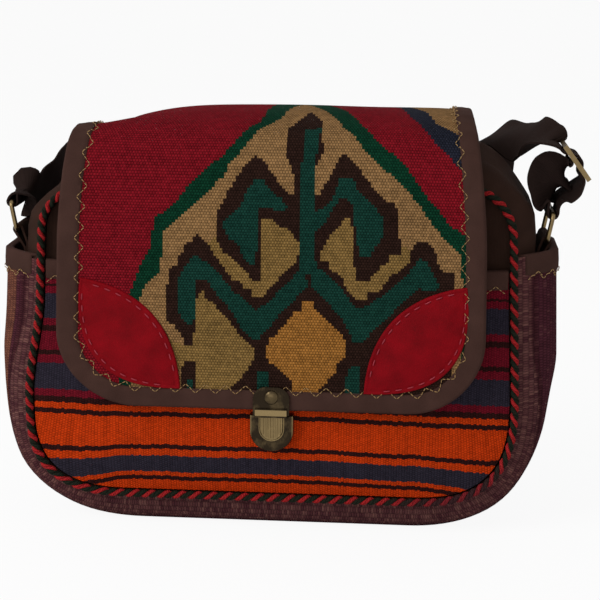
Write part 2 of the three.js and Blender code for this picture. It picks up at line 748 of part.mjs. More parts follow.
// The pull's end bar passes through the bail; its hole clears the bail's leg
function zipPull() {
  const base = zipRide + ZIP_SLIDER_WALL + (ZIP_BAIL_RISE - ZIP_PULL_THICKNESS) / 2;
  const tab = box(
    -0.8, ZIP_PULL_LENGTH, -ZIP_PULL_WIDTH / 2, ZIP_PULL_WIDTH / 2, base, base + ZIP_PULL_THICKNESS,
  );
  const hole = box(0.8, 7, -ZIP_PULL_WIDTH / 2 + 1.3, ZIP_PULL_WIDTH / 2 - 1.3, base - 1, base + 3);
  return part('zip_pull', carve(tab, hole), darkBrass);
}

function zip() {
  const group = new THREE.Group();
  const slope = Math.atan2(BACK_TOP - FRONT_TOP, BODY_DEPTH);
  const chain = new THREE.Group();
  chain.position.set(0, 0, domeTop);
  chain.rotation.x = slope;
  const rider = new THREE.Group();
  rider.position.x = ZIP_SLIDER_PLACE;
  rider.add(zipSlider(), zipPull());
  chain.add(zipTeeth(), rider);
  group.add(
    zipTape('zip_tape_front', [-1, -0.85, -0.65, -0.4, -zipEdge]),
    zipTape('zip_tape_back', [zipEdge, 0.4, 0.65, 0.85, 1]),
    chain,
  );
  return group;
}

// Strap rings lean outward from a bar held in the tab, above the side pocket's edge
const ringUp = SIDE_POCKET_TOP + RING_RISE;
const ringLow = (side) => point(side * (sideX(ringUp) + CANVAS + SIDE_SWELL + RING_OUT), 0, ringUp);

function strapRing(side, name) {
  const half = RING_LENGTH / 2;
  const corner = RING_CORNER;
  const centres = [
    [half - corner, corner, -90], [half - corner, RING_HEIGHT - corner, 0],
    [corner - half, RING_HEIGHT - corner, 90], [corner - half, corner, 180],
  ];
  const rings = centres.flatMap(([y, z, start]) => steps(3).map((f) => {
    const angle = degrees(start + 90 * f);
    const out = point(0, Math.cos(angle), Math.sin(angle));
    return steps(8).slice(0, 8).map((turn) => {
      const roll = turn * 2 * Math.PI;
      return point(0, y, z)
        .addScaledVector(out, corner + RING_WIRE * Math.cos(roll))
        .add(point(RING_WIRE * Math.sin(roll), 0, 0));
    });
  }));
  const mesh = part(name, loft(rings, true), brass);
  mesh.position.copy(ringLow(side));
  mesh.rotation.y = side * degrees(RING_LEAN);
  return mesh;
}

// Tab: a canvas strip folded round the ring's lower bar and sewn to the gusset inside the pocket
function strapTab(side, name) {
  const eye = RING_WIRE + CLEARANCE + 0.1;
  const outer = eye + CANVAS;
  const low = ringLow(1);
  const wallX = (z) => sideX(z) + (CANVAS + SIDE_SWELL + CLEARANCE) / Math.cos(taper) - low.x;
  const footZ = TAB_FOOT - ringUp;
  const bendZ = -12;
  const shape = new THREE.Shape();
  shape.moveTo(wallX(TAB_FOOT), footZ);
  shape.lineTo(wallX(TAB_FOOT) + 2 * CANVAS, footZ);
  shape.lineTo(wallX(ringUp + bendZ) + 2 * CANVAS, bendZ);
  shape.absarc(0, 0, outer, degrees(-50), degrees(160));
  shape.lineTo(wallX(ringUp + bendZ), bendZ + 3);
  const hole = new THREE.Path().absarc(0, 0, eye, 0, Math.PI * 2);
  shape.holes.push(hole);
  const geometry = new THREE.ExtrudeGeometry(shape, {
    depth: TAB_WIDTH, bevelEnabled: false, curveSegments: 14,
  });
  geometry.rotateX(Math.PI / 2).translate(0, TAB_WIDTH / 2, 0);
  if (side < 0) geometry.rotateZ(Math.PI);
  const mesh = part(name, geometry, canvas);
  mesh.position.copy(ringLow(side));
  return mesh;
}

const ringHigh = (side) => ringLow(side).add(
  point(side * Math.sin(degrees(RING_LEAN)), 0, Math.cos(degrees(RING_LEAN))).multiplyScalar(RING_HEIGHT));

// Strap slider: where it sits on the strap, and the way the strap runs there
const sliderPlace = point(189, 2, 241);
const sliderRun = point(-0.6, 0, 0.8);
const sliderOut = point(0.8, 0, 0.6);

function strapSlider() {
  const half = SLIDER_LENGTH / 2;
  const wide = SLIDER_SPAN / 2;
  const deep = SLIDER_BAR / 2;
  const frame = box(-half, half, -wide, wide, -deep, deep);
  const slot = (from, to) =>
    box(from, to, SLIDER_SIDE - wide, wide - SLIDER_SIDE, -SLIDER_BAR, SLIDER_BAR);
  const geometry = carve(frame, slot(deep, half - SLIDER_BAR), slot(SLIDER_BAR - half, -deep));
  const mesh = part('strap_slider', geometry, darkBrass);
  const across = sliderOut.clone().cross(sliderRun);
  mesh.quaternion.setFromRotationMatrix(new THREE.Matrix4().makeBasis(sliderRun, across, sliderOut));
  mesh.position.copy(sliderPlace);
  return mesh;
}

// Strap route: each stop is a point on the strap's middle and the way its width lies, front to back
const strapStop = (place, width) => ({ place, width });
const stop = (x, y, z, wx, wy, wz) => strapStop(point(x, y, z), point(wx, wy, wz));

// Round a bar: the strap comes down one side, passes under the bar and goes up the other side
function roundBar(centre, run, out, legA, legB) {
  const wrap = RING_WIRE + 2 * CLEARANCE + STRAP / 2;
  const at = (along, off) => strapStop(
    centre.clone().addScaledVector(run, along).addScaledVector(out, off), point(0, 1, 0));
  return [...legA.map(([a, o]) => at(a, o)), at(0, -wrap), at(-wrap * 0.72, -wrap * 0.72), at(-wrap, 0),
    at(-wrap * 0.72, wrap * 0.72), at(0, wrap), ...legB.map(([a, o]) => at(a, o))];
}

function strapStops() {
  const leftRun = point(0.2, 0, 0.98);
  const leftOut = point(-0.98, 0, 0.2);
  const rightRun = point(0.12, 0, 0.993);
  const rightOut = point(-0.993, 0, 0.12);
  const under = -(SLIDER_BAR + STRAP) / 2 - CLEARANCE;
  const onSlider = (along, off) => strapStop(
    sliderPlace.clone().addScaledVector(sliderRun, along).addScaledVector(sliderOut, off), point(0, 1, 0));
  const barAt = (SLIDER_LENGTH - SLIDER_BAR) / 2;
  return [
    ...roundBar(ringHigh(-1), leftRun, leftOut, [[10, -2], [6, -2.6]], [[6, 2.6]]),
    stop(-173, 1.5, 218.5, -0.1, 0.97, -0.2),
    stop(-167, 8, 225.5, -0.25, 0.9, -0.35),
    stop(-160, 21, 232, -0.5, 0.65, -0.57),
    stop(-153.4, 35, 235.3, -0.6, 0.5, -0.62),
    stop(-148.3, 48.5, 236, -0.7, 0.35, -0.62),
    stop(-145, 62, 232, -0.8, 0.3, -0.5),
    stop(-141, 74, 220, -0.9, 0.3, -0.25),
    stop(-134.5, 80.5, 198, -0.9, 0.4, 0),
    stop(-120, 80, 155, -0.7, 0.7, 0),
    stop(-100, 79, 110, -0.45, 0.9, 0),
    stop(-72, 79, 68, -0.2, 0.98, 0),
    stop(-37, 80, 43, 0, 1, 0),
    stop(0, 81, 35, 0, 1, 0),
    stop(37, 80, 43, 0, 1, 0),
    stop(72, 79, 68, 0.2, 0.98, 0),
    stop(100, 79, 110, 0.45, 0.9, 0),
    stop(120, 80, 160, 0.7, 0.7, 0),
    stop(134, 81, 210, 0.9, 0.4, 0),
    stop(140, 78, 236, 0.94, 0.3, 0.1),
    stop(146.5, 68, 248, 0.88, 0.35, 0.25),
    stop(154.5, 52, 253, 0.75, 0.55, 0.35),
    stop(159.5, 34, 253, 0.5, 0.78, 0.38),
    stop(165.5, 17.5, 252.3, 0.25, 0.9, 0.33),
    stop(171, 8.5, 253.5, 0.15, 0.95, 0.25),
    onSlider(barAt + 7, -0.5),
    onSlider(barAt + 1, under),
    onSlider(barAt - 2.4, under + 0.2),
    onSlider(barAt / 2, 0),
    onSlider(2.4, -under - 0.2),
    onSlider(0, -under),
    onSlider(-2.4, -under - 0.2),
    onSlider(-barAt / 2, 0),
    onSlider(2.4 - barAt, under + 0.2),
    onSlider(-barAt - 1, under),
    stop(190.5, 2, 223, 0, 1, 0),
    stop(186.5, 1, 215, 0, 1, 0),
    ...roundBar(ringHigh(1), rightRun, rightOut, [[5, -3.4]], [[5, 3.6]]),
    stop(174.5, 1, 214, 0, 1, 0),
    stop(174.5, 2, 222.5, 0, 1, 0),
    stop(178, 2, 230.5, 0, 1, 0),
    onSlider(-8, under - 4),
    onSlider(0, under),
    onSlider(3, under - 0.2),
  ];
}

function strap() {
  const stops = strapStops();
  const path = new THREE.CatmullRomCurve3(stops.map((s) => s.place), false, 'centripetal');
  const lay = new THREE.CatmullRomCurve3(stops.map((s) => s.width), false, 'catmullrom', 0.5);
  const perStop = 3;
  const count = (stops.length - 1) * perStop;
  const rings = steps(count).map((f) => {
    const place = path.getPoint(f);
    const run = path.getTangent(f);
    const width = lay.getPoint(f);
    width.addScaledVector(run, -width.dot(run)).setLength(STRAP_WIDTH / 2);
    const up = run.clone().cross(width).setLength(STRAP / 2);
    const corner = (w, h) => place.clone().addScaledVector(width, w).addScaledVector(up, h);
    return [corner(-1, 1), corner(1, 1), corner(1, -1), corner(-1, -1)];
  });
  return part('strap', loft(rings), strapCloth);
}

const bag = new THREE.Group();
const lock = lockLayout();
const screwHole = rod(SCREW_RADIUS + CLEARANCE, 0, lock.screwZ, flapFront - 12, flapFront + 4);
bag.add(
  gusset(), sideAndBottomStrip(), frontPanel(), backPanel(), frontPiping(), backPiping(),
  sidePocketBinding(-1, 'side_pocket_binding_left'), sidePocketBinding(1, 'side_pocket_binding_right'),
  frontPocket(lock), frontPocketBinding(),
  flapLayer('flap_lining', 0, LINING, liningCloth, screwHole),
  flapLayer('flap_kilim', LINING + CLEARANCE, flapFace, flapWeave, screwHole),
  flapBinding(screwHole), leafPatch(-1, 'leaf_patch_left'), leafPatch(1, 'leaf_patch_right'),
  lockBody(lock), lockButton(lock), lockSpring(lock), lockBackPlate(lock),
  lockTongue(lock), tongueScrew(lock), tongueWasher(lock), zip(),
  strapRing(-1, 'strap_ring_left'), strapRing(1, 'strap_ring_right'),
  strapTab(-1, 'strap_tab_left'), strapTab(1, 'strap_tab_right'),
  strapSlider(), strap(),
);

export default bag;
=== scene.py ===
import math
from collections import namedtuple

import bpy
import numpy as np
from mathutils import Matrix, Vector


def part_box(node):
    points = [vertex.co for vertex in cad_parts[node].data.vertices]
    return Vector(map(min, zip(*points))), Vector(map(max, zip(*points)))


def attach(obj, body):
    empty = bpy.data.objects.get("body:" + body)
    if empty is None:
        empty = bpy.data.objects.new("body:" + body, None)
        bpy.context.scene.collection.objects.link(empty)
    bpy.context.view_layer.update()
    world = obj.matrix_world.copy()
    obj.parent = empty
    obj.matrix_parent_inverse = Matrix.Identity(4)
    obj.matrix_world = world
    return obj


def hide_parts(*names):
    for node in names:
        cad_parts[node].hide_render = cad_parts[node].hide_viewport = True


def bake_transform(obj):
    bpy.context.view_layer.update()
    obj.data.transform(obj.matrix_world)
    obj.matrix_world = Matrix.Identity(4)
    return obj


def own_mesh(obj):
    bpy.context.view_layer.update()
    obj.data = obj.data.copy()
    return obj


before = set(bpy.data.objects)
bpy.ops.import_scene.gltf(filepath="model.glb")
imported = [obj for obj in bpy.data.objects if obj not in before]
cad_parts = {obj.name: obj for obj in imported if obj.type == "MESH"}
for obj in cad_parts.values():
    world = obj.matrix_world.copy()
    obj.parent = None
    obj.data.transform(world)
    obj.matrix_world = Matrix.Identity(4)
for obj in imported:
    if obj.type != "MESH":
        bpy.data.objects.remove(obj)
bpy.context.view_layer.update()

bl_info = {
    "name": "Kilim shoulder bag",
    "version": (1, 0, 0),
    "blender": (4, 5, 0),
    "location": "View3D > Sidebar > Bag",
    "description": "Dresses the solids of a kilim shoulder bag as cloth, cord, leather and brass",
    "category": "Object",
}

# Plain numbers are millimetres, in the frame of the solids; meshes are made in metres
MM = 0.001

# Body
HALF_DEPTH = 45.0
SEAM_WIDTH = 304.0
SEAM_LIFT = 24.0
FRONT_TOP = 226.0
BACK_TOP = 243.0
BOTTOM_CORNER = 64.0
TOP_CORNER = 30.0
TAPER = math.radians(2.5)
SIDE_SWELL = 15.0
TOP_SWELL = 10.4
SIDE_POCKET_SWELL = 25.5
SIDE_POCKET_TOP = 182.0
BOTTOM_FLAT = 0.65
SIDE_FLAT = 0.4
SIDE_START = 92
SIDE_END = 194

# Cloth
CANVAS = 1.6
KILIM = 3.0
LINING = 1.2
TAPE = 1.0
LEATHER = 1.2
CLEARANCE = 0.3

# Front pocket
POCKET_TOP = 175.0
POCKET_SWELL = 10.7
POCKET_RISE = 40.0
POCKET_FLAT = 0.45
POCKET_BINDING = 11.0
SIDE_BINDING = 12.0
POCKET_ZIGZAG_LIFT = 0.3
POCKET_WAVE = 0.7
POCKET_WAVE_LENGTH = 26.0
POCKET_WAVE_START = (26, 60)
POCKET_WAVE_END = (150, 172)
PANEL_WAVE = 0.3
PANEL_WAVE_LENGTH = 22.0
PANEL_BULGE_END = (150, 192)
STRIPE_SPAN = 200.0
STRIPE_HALF_WIDTH = 140.0

# Flap
FLAP_FRONT_EDGE = 86.0
FLAP_BACK_EDGE = 200.0
FLAP_HEADROOM = 20.5
FLAP_STANDOFF = 4.0
FLAP_BACK_WIDTH = 256.0
FLAP_FRONT_WIDTH = 269.0
FLAP_CORNER = 48.0
FLAP_BINDING = 13.0
FLAP_STRAIGHT = 50.0
FLAP_LEFT_OUT = 3.2
FLAP_CORNER_SINK = 6.0
FLAP_ZIGZAG_LIFT = 0.25
FLAP_RIGHT_SINK = 1.5
FLAP_TOP_START = (100, 215)
FLAP_TOP_END = (250, 300)
FLAP_CORNER_SHARES = (0.76, 1.08)
FLAP_WAVE = 0.7
FLAP_WAVE_LENGTH = 34.0
FLAP_WAVE_START = (0, 40)

# Lengths up from the flap's front edge, and the share of its droop at each
SINK_PROFILE = (
    (168, 185, 197, 210, 222, 245, 262, 285),
    (0.0, 0.16, 0.4, 0.72, 0.96, 1.0, 0.8, 0.0),
)

# Leather leaves: tips measured in from the flap's side edge and up from its front edge
LEAF_OUTER = (13.5, 83.0)
LEAF_INNER = (76.5, 12.8)
LEAF_LOWER_BOW = 28.5
LEAF_UPPER_BOW = 19.0
LEAF_SEAM = 3.2
LEAF_GROOVE = 0.45
LEAF_PUCKER = 0.22

# Rings, tabs and slider
RING_WIRE = 1.5
RING_LENGTH = 43.0
RING_HEIGHT = 18.5
RING_CORNER = 3.5
RING_LEAN = math.radians(11)
RING_OUT = 7.5
RING_RISE = 8.0
TAB_FOOT = 150.0
TAB_WIDTH = 36.0
TAB_BEND = 12
SLIDER_BAR = 3.0
SLIDER_LENGTH = 27.0

# Piping
PIPING_OUT = 2.0
PIPING_RADIUS = 3.2

# Settling of the worn cloth: rows of four run from the front seam to the back seam
SHOULDER_Y = (-45.0, -15.0, 25.0, 45.0)
LEFT_SAG = (5.0, 15.0, 15.0, 12.0)
LEFT_IN = (0.0, 5.5, 5.5, 2.0)
RIGHT_SAG = (0.0, 1.0, 1.0, 0.0)
RIGHT_IN = (0.0, 5.0, 5.0, 0.0)
RIGHT_SWELL = 1.0
CORNER_OUT_LEFT = 8.5
CORNER_OUT_RIGHT = 6.0
CORNER_FLAT = 5.0
FRONT_OUT_LEFT = 5.5
SIDE_IN_LEFT = 6.0
SIDE_IN_RIGHT = 7.5
POCKET_DROP_LEFT = 7.0
POCKET_LIFT_RIGHT = 2.0
POCKET_HANG_FROM = 110
CORNER_LOWEST = 0.2

# Pairs of places at which a settling begins and is complete
SAG_X = (100, 130)
SAG_Z = (188, 240)
SHOULDER_X = (118, 150)
LEFT_IN_Z = (196, 226)
RIGHT_IN_Z = (206, 232)
SWELL_Y = (40, 20)
SWELL_FOOT_Z = (176, 198)
SWELL_HEAD_Z = (222, 204)
FORE_Y = (-12, -42)
CORNER_X = (90, 150)
SIDE_IN_Y = (20, HALF_DEPTH)
SIDE_IN_HEAD_Z = (118, 78)
SIDE_IN_FOOT_Z = (14, 45)
FRONT_OUT_HEAD_Z = (150, 90)
FRONT_OUT_FOOT_Z = (10, 45)

# Strap: its bends, where its cloth curls, and two heights over a ring that are worked out for each loop
# but not used
STRAP_THICKNESS = 2.2
STRAP_PER_STOP = 8
WRAP = RING_WIRE + 2 * CLEARANCE + STRAP_THICKNESS / 2
SLIDER_PLACE = np.array([189.0, 2.0, 241.0])
SLIDER_RUN = np.array([-0.6, 0.0, 0.8])
SLIDER_OUT = np.array([0.8, 0.0, 0.6])
STRAP_FOLD = np.array([-167.5, 18.0, 207.0])
STRAP_FOLD_REACH = 16.0
STRAP_FOLD_CURL = 0.22
STRAP_SLIDER_CURL = 0.1
LOOP_BEND_LOW = 3.0
LOOP_BEND_HIGH = 24.0

# Lock
WELL_GAP = 0.75
WELL_RIM = 0.45
SPRING_LEAF = 0.35
SPRING_STEPS = 25

# Wool surface
WOOL_ROUGHNESS = 0.95
WOOL_SHINE = 0.03

# Stage: floor and lamps in metres, the point looked at in millimetres
FLOOR_REACH = 30.0
FLOOR_DROP = 0.0006
FLOOR_PAINT = (0.9, 0.9, 0.9, 1.0)
FLOOR_GLOW = 0.92
WHITE = (1.0, 1.0, 1.0, 1.0)
KEY_LAMP = ((-1.3, -1.3, 1.4), 1.2)
FILL_LAMP = ((-0.2, -2.3, 0.5), 1.6)
LAMP_TARGET = (0.0, 0.0, 0.13)
VIEW_TARGET = (12.6, 0.0, 143.7)
SENSOR_WIDTH = 36.0

SQUARE = ((-1, -1), (1, -1), (1, 1), (-1, 1))
BAG = "bag"


def srgb(code):
    """A colour as three shares from its six hexadecimal digits."""
    return tuple(int(code[i:i + 2], 16) / 255 for i in (0, 2, 4))


def linear(colour):
    """Display colour to the linear values that a shader takes, with full alpha."""
    shares = [c / 12.92 if c <= 0.04045 else ((c + 0.055) / 1.055) ** 2.4 for c in colour]
    return (*shares, 1.0)


def length_property(name, description, default):
    return bpy.props.FloatProperty(
        name=name, description=description, default=default * MM, unit="LENGTH", precision=4)


def colour_property(name, description, code):
    return bpy.props.FloatVectorProperty(
        name=name, description=description, default=srgb(code), subtype="COLOR_GAMMA", size=3,
        min=0.0, max=1.0)


def angle_property(name, description, degrees):
    return bpy.props.FloatProperty(
        name=name, description=description, default=math.radians(degrees), subtype="ANGLE")


def power_property(name, description, watts):
    return bpy.props.FloatProperty(name=name, description=description, default=watts, unit="POWER")


class BagSizes(bpy.types.PropertyGroup):
    """Sizes of the cloth work that a maker would change."""
    warp: length_property("Warp", "Distance between the warps of the flap's weave", 1.85)
    weft: length_property("Weft", "Height of one visible row of the flap's weave", 1.7)
    piping_radius: length_property("Piping", "Radius of the twisted piping cord", 2.65)
    piping_pitch: length_property("Piping pitch", "Length of one turn of the piping's two strands", 10.2)
    thread: length_property("Thread", "Radius of the sewing thread", 0.28)
    zigzag: length_property("Zigzag", "Length of one period of the zigzag stitch", 12.7)
    zigzag_reach: length_property("Zigzag reach", "Half of the zigzag stitch's height", 2.7)
    stitch: length_property("Stitch", "Length of one running stitch on the leather", 4.0)
    stitch_step: length_property("Stitch step", "Distance between running stitches on the leather", 7.5)
    leaf_puff: length_property("Leaf puff", "Rise of the leather leaf's middle", 1.3)
    flap_droop: length_property("Flap droop", "Sink of the flap's top at its left end", 19.0)
    flap_narrowing: length_property("Flap narrowing", "How far the flap draws in over the top", 7.0)
    strap_width: length_property("Strap width", "Width of the shoulder strap", 38.0)
    strap_thickness: length_property(
        "Strap thickness", "Thickness of the shoulder strap", STRAP_THICKNESS)


class BagColours(bpy.types.PropertyGroup):
    """Colours of the wools, cloths, leather and metal."""
    red: colour_property("Red", "Ground of the flap", "78131d")
    green: colour_property("Green", "Outline of the flap's large diamond", "0c3423")
    beige: colour_property("Beige", "Field of the flap's large diamond", "8c6a44")
    straw: colour_property("Straw", "Leaves inside the diamond", "806438")
    dark: colour_property("Dark", "Outlines inside the diamond", "2a1a15")
    teal: colour_property("Teal", "Hooks inside the diamond", "15382f")
    ochre: colour_property("Ochre", "Small diamond at the flap's front edge", "97652e")
    navy: colour_property("Navy", "Band at the flap's top right corner", "22242f")
    orange: colour_property("Orange", "Broad stripes of the pocket", "b8360c")
    crimson: colour_property("Crimson", "Narrow stripes of the pocket", "66121f")
    slate: colour_property("Slate", "Wide dark stripes of the pocket", "2b2731")
    umber: colour_property("Umber", "Thin dark stripes of the pocket", "2c1413")
    terracotta: colour_property("Terracotta", "Middle stripe of the left side", "6e4434")
    wine: colour_property("Wine", "Ground of the sides and bottom", "46222a")
    mauve: colour_property("Mauve", "Pale beads of the sides", "6a4842")
    canvas: colour_property("Canvas", "Cotton canvas of the body", "38261f")
    tape: colour_property("Tape", "Folded tape of the bindings", "47312b")
    lining: colour_property("Lining", "Lining of the flap", "2a1c18")
    thread: colour_property("Thread", "Zigzag stitches", "b08c5c")
    leather: colour_property("Leather", "Leaf patches", "800611")
    leather_thread: colour_property("Leather thread", "Running stitches on the leaves", "a83442")
    cord_red: colour_property("Cord red", "Red strand of the piping", "a32527")
    cord_dark: colour_property("Cord dark", "Dark strand of the piping", "20241c")
    strap: colour_property("Strap", "Shoulder strap", "2b201d")
    brass: colour_property("Brass", "Lock and rings", "8a7652")
    patina: colour_property("Patina", "Dark of the worn brass", "2c241b")
    steel: colour_property("Steel", "Plain plated steel", "8f9092")


class BagStage(bpy.types.PropertyGroup):
    """Camera and light."""
    azimuth: angle_property("Azimuth", "Camera's turn to the right of the front", 4)
    elevation: angle_property("Elevation", "Camera's height as an angle", 12)
    roll: angle_property("Roll", "Camera's tilt, which lowers the bag's right side", 0.7)
    distance: length_property("Distance", "From the camera to the point it looks at", 1150)
    view_width: length_property("View width", "Width of the view at the point looked at", 397.8)
    key_power: power_property("Key power", "Power of the large lamp at the upper left", 24.0)
    fill_power: power_property("Fill power", "Power of the lamp in front", 7.0)
    ambient: bpy.props.FloatProperty(
        name="Ambient", description="Strength of the light from all round", default=0.5)


def mm(length):
    return length / MM


def lerp(a, b, share):
    return a + (b - a) * share


def ease(low, high, value):
    """A smooth step from 0 at low to 1 at high."""
    share = np.clip((value - low) / (high - low), 0.0, 1.0)
    return share * share * (3 - 2 * share)


def ripple(a, b, wave, seed):
    """Slow unevenness of hand-made cloth, between about -1 and 1."""
    broad = np.sin(a / wave + seed) * np.sin(b / (0.8 * wave) + 1.7 * seed)
    fine = np.sin(a / (0.45 * wave) + 2.3 * seed + b / (0.6 * wave))
    return (broad + 0.5 * fine) / 1.5


def spline(points, per, power=0.25):
    """A Catmull-Rom curve through points: centripetal, or even in its parameter where power is 0."""
    points = np.asarray(points, float)
    placed = []
    shares = np.arange(per)[:, None] / per
    for i in range(len(points) - 1):
        p1, p2 = points[i], points[i + 1]
        p0 = points[i - 1] if i > 0 else 2 * p1 - p2
        p3 = points[i + 2] if i + 2 < len(points) else 2 * p2 - p1
        pairs = ((p0, p1), (p1, p2), (p2, p3))
        gap = [max(float(np.sum((a - b) ** 2)) ** power, 1e-6) for a, b in pairs]
        m1 = gap[1] * ((p1 - p0) / gap[0] - (p2 - p0) / (gap[0] + gap[1]) + (p2 - p1) / gap[1])
        m2 = gap[1] * ((p2 - p1) / gap[1] - (p3 - p1) / (gap[1] + gap[2]) + (p3 - p2) / gap[2])
        cubic = 2 * p1 - 2 * p2 + m1 + m2
        square = -3 * p1 + 3 * p2 - 2 * m1 - m2
        placed.append(p1 + m1 * shares + square * shares ** 2 + cubic * shares ** 3)
    placed.append(points[-1:])
    return np.concatenate(placed)


def along(points):
    """Length travelled at each point of a line."""
    return np.concatenate([[0.0], np.cumsum(np.linalg.norm(np.diff(points, axis=0), axis=1))])


def unit(vectors):
    return vectors / np.maximum(np.linalg.norm(vectors, axis=-1, keepdims=True), 1e-9)


# Forms: points, faces and places on the cloth, before they become meshes
class Form:
    """Points, faces and cloth coordinates of one piece, in millimetres."""

    def __init__(self, points, faces, uv):
        self.points = np.asarray(points, float).reshape(-1, 3)
        self.faces = faces
        self.uv = np.asarray(uv, float).reshape(-1, 2)

    def facing_out(self):
        """Turns the faces over if they look inward."""
        volume = 0.0
        for group in self.faces:
            a = self.points[group[:, 0]]
            for k in range(1, group.shape[1] - 1):
                b, c = self.points[group[:, k]], self.points[group[:, k + 1]]
                volume += np.sum(a * np.cross(b, c))
        if volume < 0:
            self.faces = [group[:, ::-1] for group in self.faces]
        return self


def joined(forms):
    """Several forms as one."""
    faces = []
    start = 0
    for form in forms:
        faces += [group + start for group in form.faces]
        start += len(form.points)
    return Form(np.concatenate([f.points for f in forms]), faces, np.concatenate([f.uv for f in forms]))


def mirrored(form):
    """The same form on the other side of the bag."""
    return Form(form.points * (-1, 1, 1), [group[:, ::-1] for group in form.faces], form.uv)


def as_made(form):
    """The form where it is made, on the bag's right side."""
    return form


SIDES = (("right", as_made), ("left", mirrored))


def grid_quads(rows, cols):
    index = np.arange(rows * cols).reshape(rows, cols)
    return np.stack([index[:-1, :-1], index[:-1, 1:], index[1:, 1:], index[1:, :-1]], -1).reshape(-1, 4)


def with_back(quads, count):
    """Front faces, the same faces turned over for the back, and the rim between them."""
    starts = quads.ravel()
    ends = np.roll(quads, -1, axis=1).ravel()
    forward = starts.astype(np.int64) * count + ends
    backward = ends.astype(np.int64) * count + starts
    rim = ~np.isin(forward, backward)
    a, b = starts[rim], ends[rim]
    return [quads, quads[:, ::-1] + count, np.stack([b, a, a + count, b + count], -1)]


def shell(outer, inner, uv):
    """A cloth between two grids of points."""
    rows, cols = outer.shape[:2]
    points = np.concatenate([outer.reshape(-1, 3), inner.reshape(-1, 3)])
    faces = with_back(grid_quads(rows, cols), rows * cols)
    flat = uv.reshape(-1, 2)
    return Form(points, faces, np.concatenate([flat, flat])).facing_out()


def swept(sections, closed=False):
    """A skin over closed sections, one row of points each, with its ends shut."""
    rows, cols = sections.shape[:2]
    index = np.arange(rows * cols).reshape(rows, cols)
    here = index if closed else index[:-1]
    after = np.roll(index, -1, axis=0) if closed else index[1:]
    quads = np.stack([here, np.roll(here, -1, 1), np.roll(after, -1, 1), after], -1).reshape(-1, 4)
    faces = [quads]
    if not closed:
        faces += [index[:1, ::-1], index[-1:]]
    middle = sections.mean(axis=1)
    travelled = np.repeat(along(middle)[:, None], cols, 1)
    first = np.concatenate([sections[0], sections[0, :1]])
    round_ = np.repeat(along(first)[None, :cols], rows, 0)
    return Form(sections.reshape(-1, 3), faces, np.stack([travelled, round_], -1)).facing_out()


def tube(path, ups, radius, sides=8, closed=False):
    """A round bar along a path; ups are directions across the path."""
    if closed:
        run = np.roll(path, -1, axis=0) - np.roll(path, 1, axis=0)
    else:
        run = np.gradient(path, axis=0)
    run = unit(run)
    ups = unit(ups - run * np.sum(ups * run, axis=-1, keepdims=True))
    beside = np.cross(run, ups)
    turn = np.arange(sides) * 2 * math.pi / sides
    radius = np.broadcast_to(np.asarray(radius, float), (len(path),))[:, None, None]
    ring = np.cos(turn)[None, :, None] * ups[:, None] + np.sin(turn)[None, :, None] * beside[:, None]
    return swept(path[:, None] + radius * ring, closed)


def threads(paths, ups, radius, sides=6):
    """Many short stitches at once: paths and ups hold one row of points for each."""
    count, steps = paths.shape[:2]
    run = unit(np.gradient(paths, axis=1))
    ups = unit(ups - run * np.sum(ups * run, axis=-1, keepdims=True))
    beside = np.cross(run, ups)
    turn = np.arange(sides) * 2 * math.pi / sides
    thin = np.ones(steps)
    thin[[0, -1]] = 0.5
    ring = np.cos(turn)[:, None] * ups[:, :, None] + np.sin(turn)[:, None] * beside[:, :, None]
    points = paths[:, :, None] + radius * thin[None, :, None, None] * ring
    index = np.arange(count * steps * sides).reshape(count, steps, sides)
    here, after = index[:, :-1], index[:, 1:]
    quads = np.stack([here, np.roll(here, -1, 2), np.roll(after, -1, 2), after], -1).reshape(-1, 4)
    travelled = np.broadcast_to(np.linspace(0, 4, steps)[None, :, None], index.shape)
    round_ = np.broadcast_to(np.arange(sides)[None, None, :] * radius, index.shape)
    faces = [quads, index[:, 0, ::-1], index[:, -1]]
    return Form(points, faces, np.stack([travelled, round_], -1)).facing_out()


def to_object(name, form, finish, shades=None):
    """A mesh object from a form, with its cloth coordinates in metres."""
    mesh = bpy.data.meshes.new(name)
    faces = [face for group in form.faces for face in group.tolist()]
    mesh.from_pydata((form.points * MM).tolist(), [], faces)
    corners = np.empty(len(mesh.loops), dtype=np.int32)
    mesh.loops.foreach_get("vertex_index", corners)
    layer = mesh.uv_layers.new(name="cloth")
    layer.data.foreach_set("uv", (form.uv[corners] * MM).ravel())
    if shades is not None:
        sizes = np.empty(len(mesh.polygons), dtype=np.int32)
        mesh.polygons.foreach_get("loop_total", sizes)
        attribute = mesh.color_attributes.new(name="pattern", type="FLOAT_COLOR", domain="CORNER")
        attribute.data.foreach_set("color", np.repeat(shades, sizes, axis=0).ravel())
    mesh.shade_smooth()
    mesh.set_sharp_from_angle(angle=math.radians(50))
    mesh.materials.append(finish)
    obj = bpy.data.objects.new(name, mesh)
    bpy.context.scene.collection.objects.link(obj)
    return obj


def piece(name, form, finish, stands_for=(), body=BAG, shades=None):
    """A piece of the bag that rides on a body and stands for solids of the frame."""
    obj = to_object(name, form, finish, shades)
    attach(obj, body)
    if stands_for:
        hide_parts(*stands_for)
    return obj


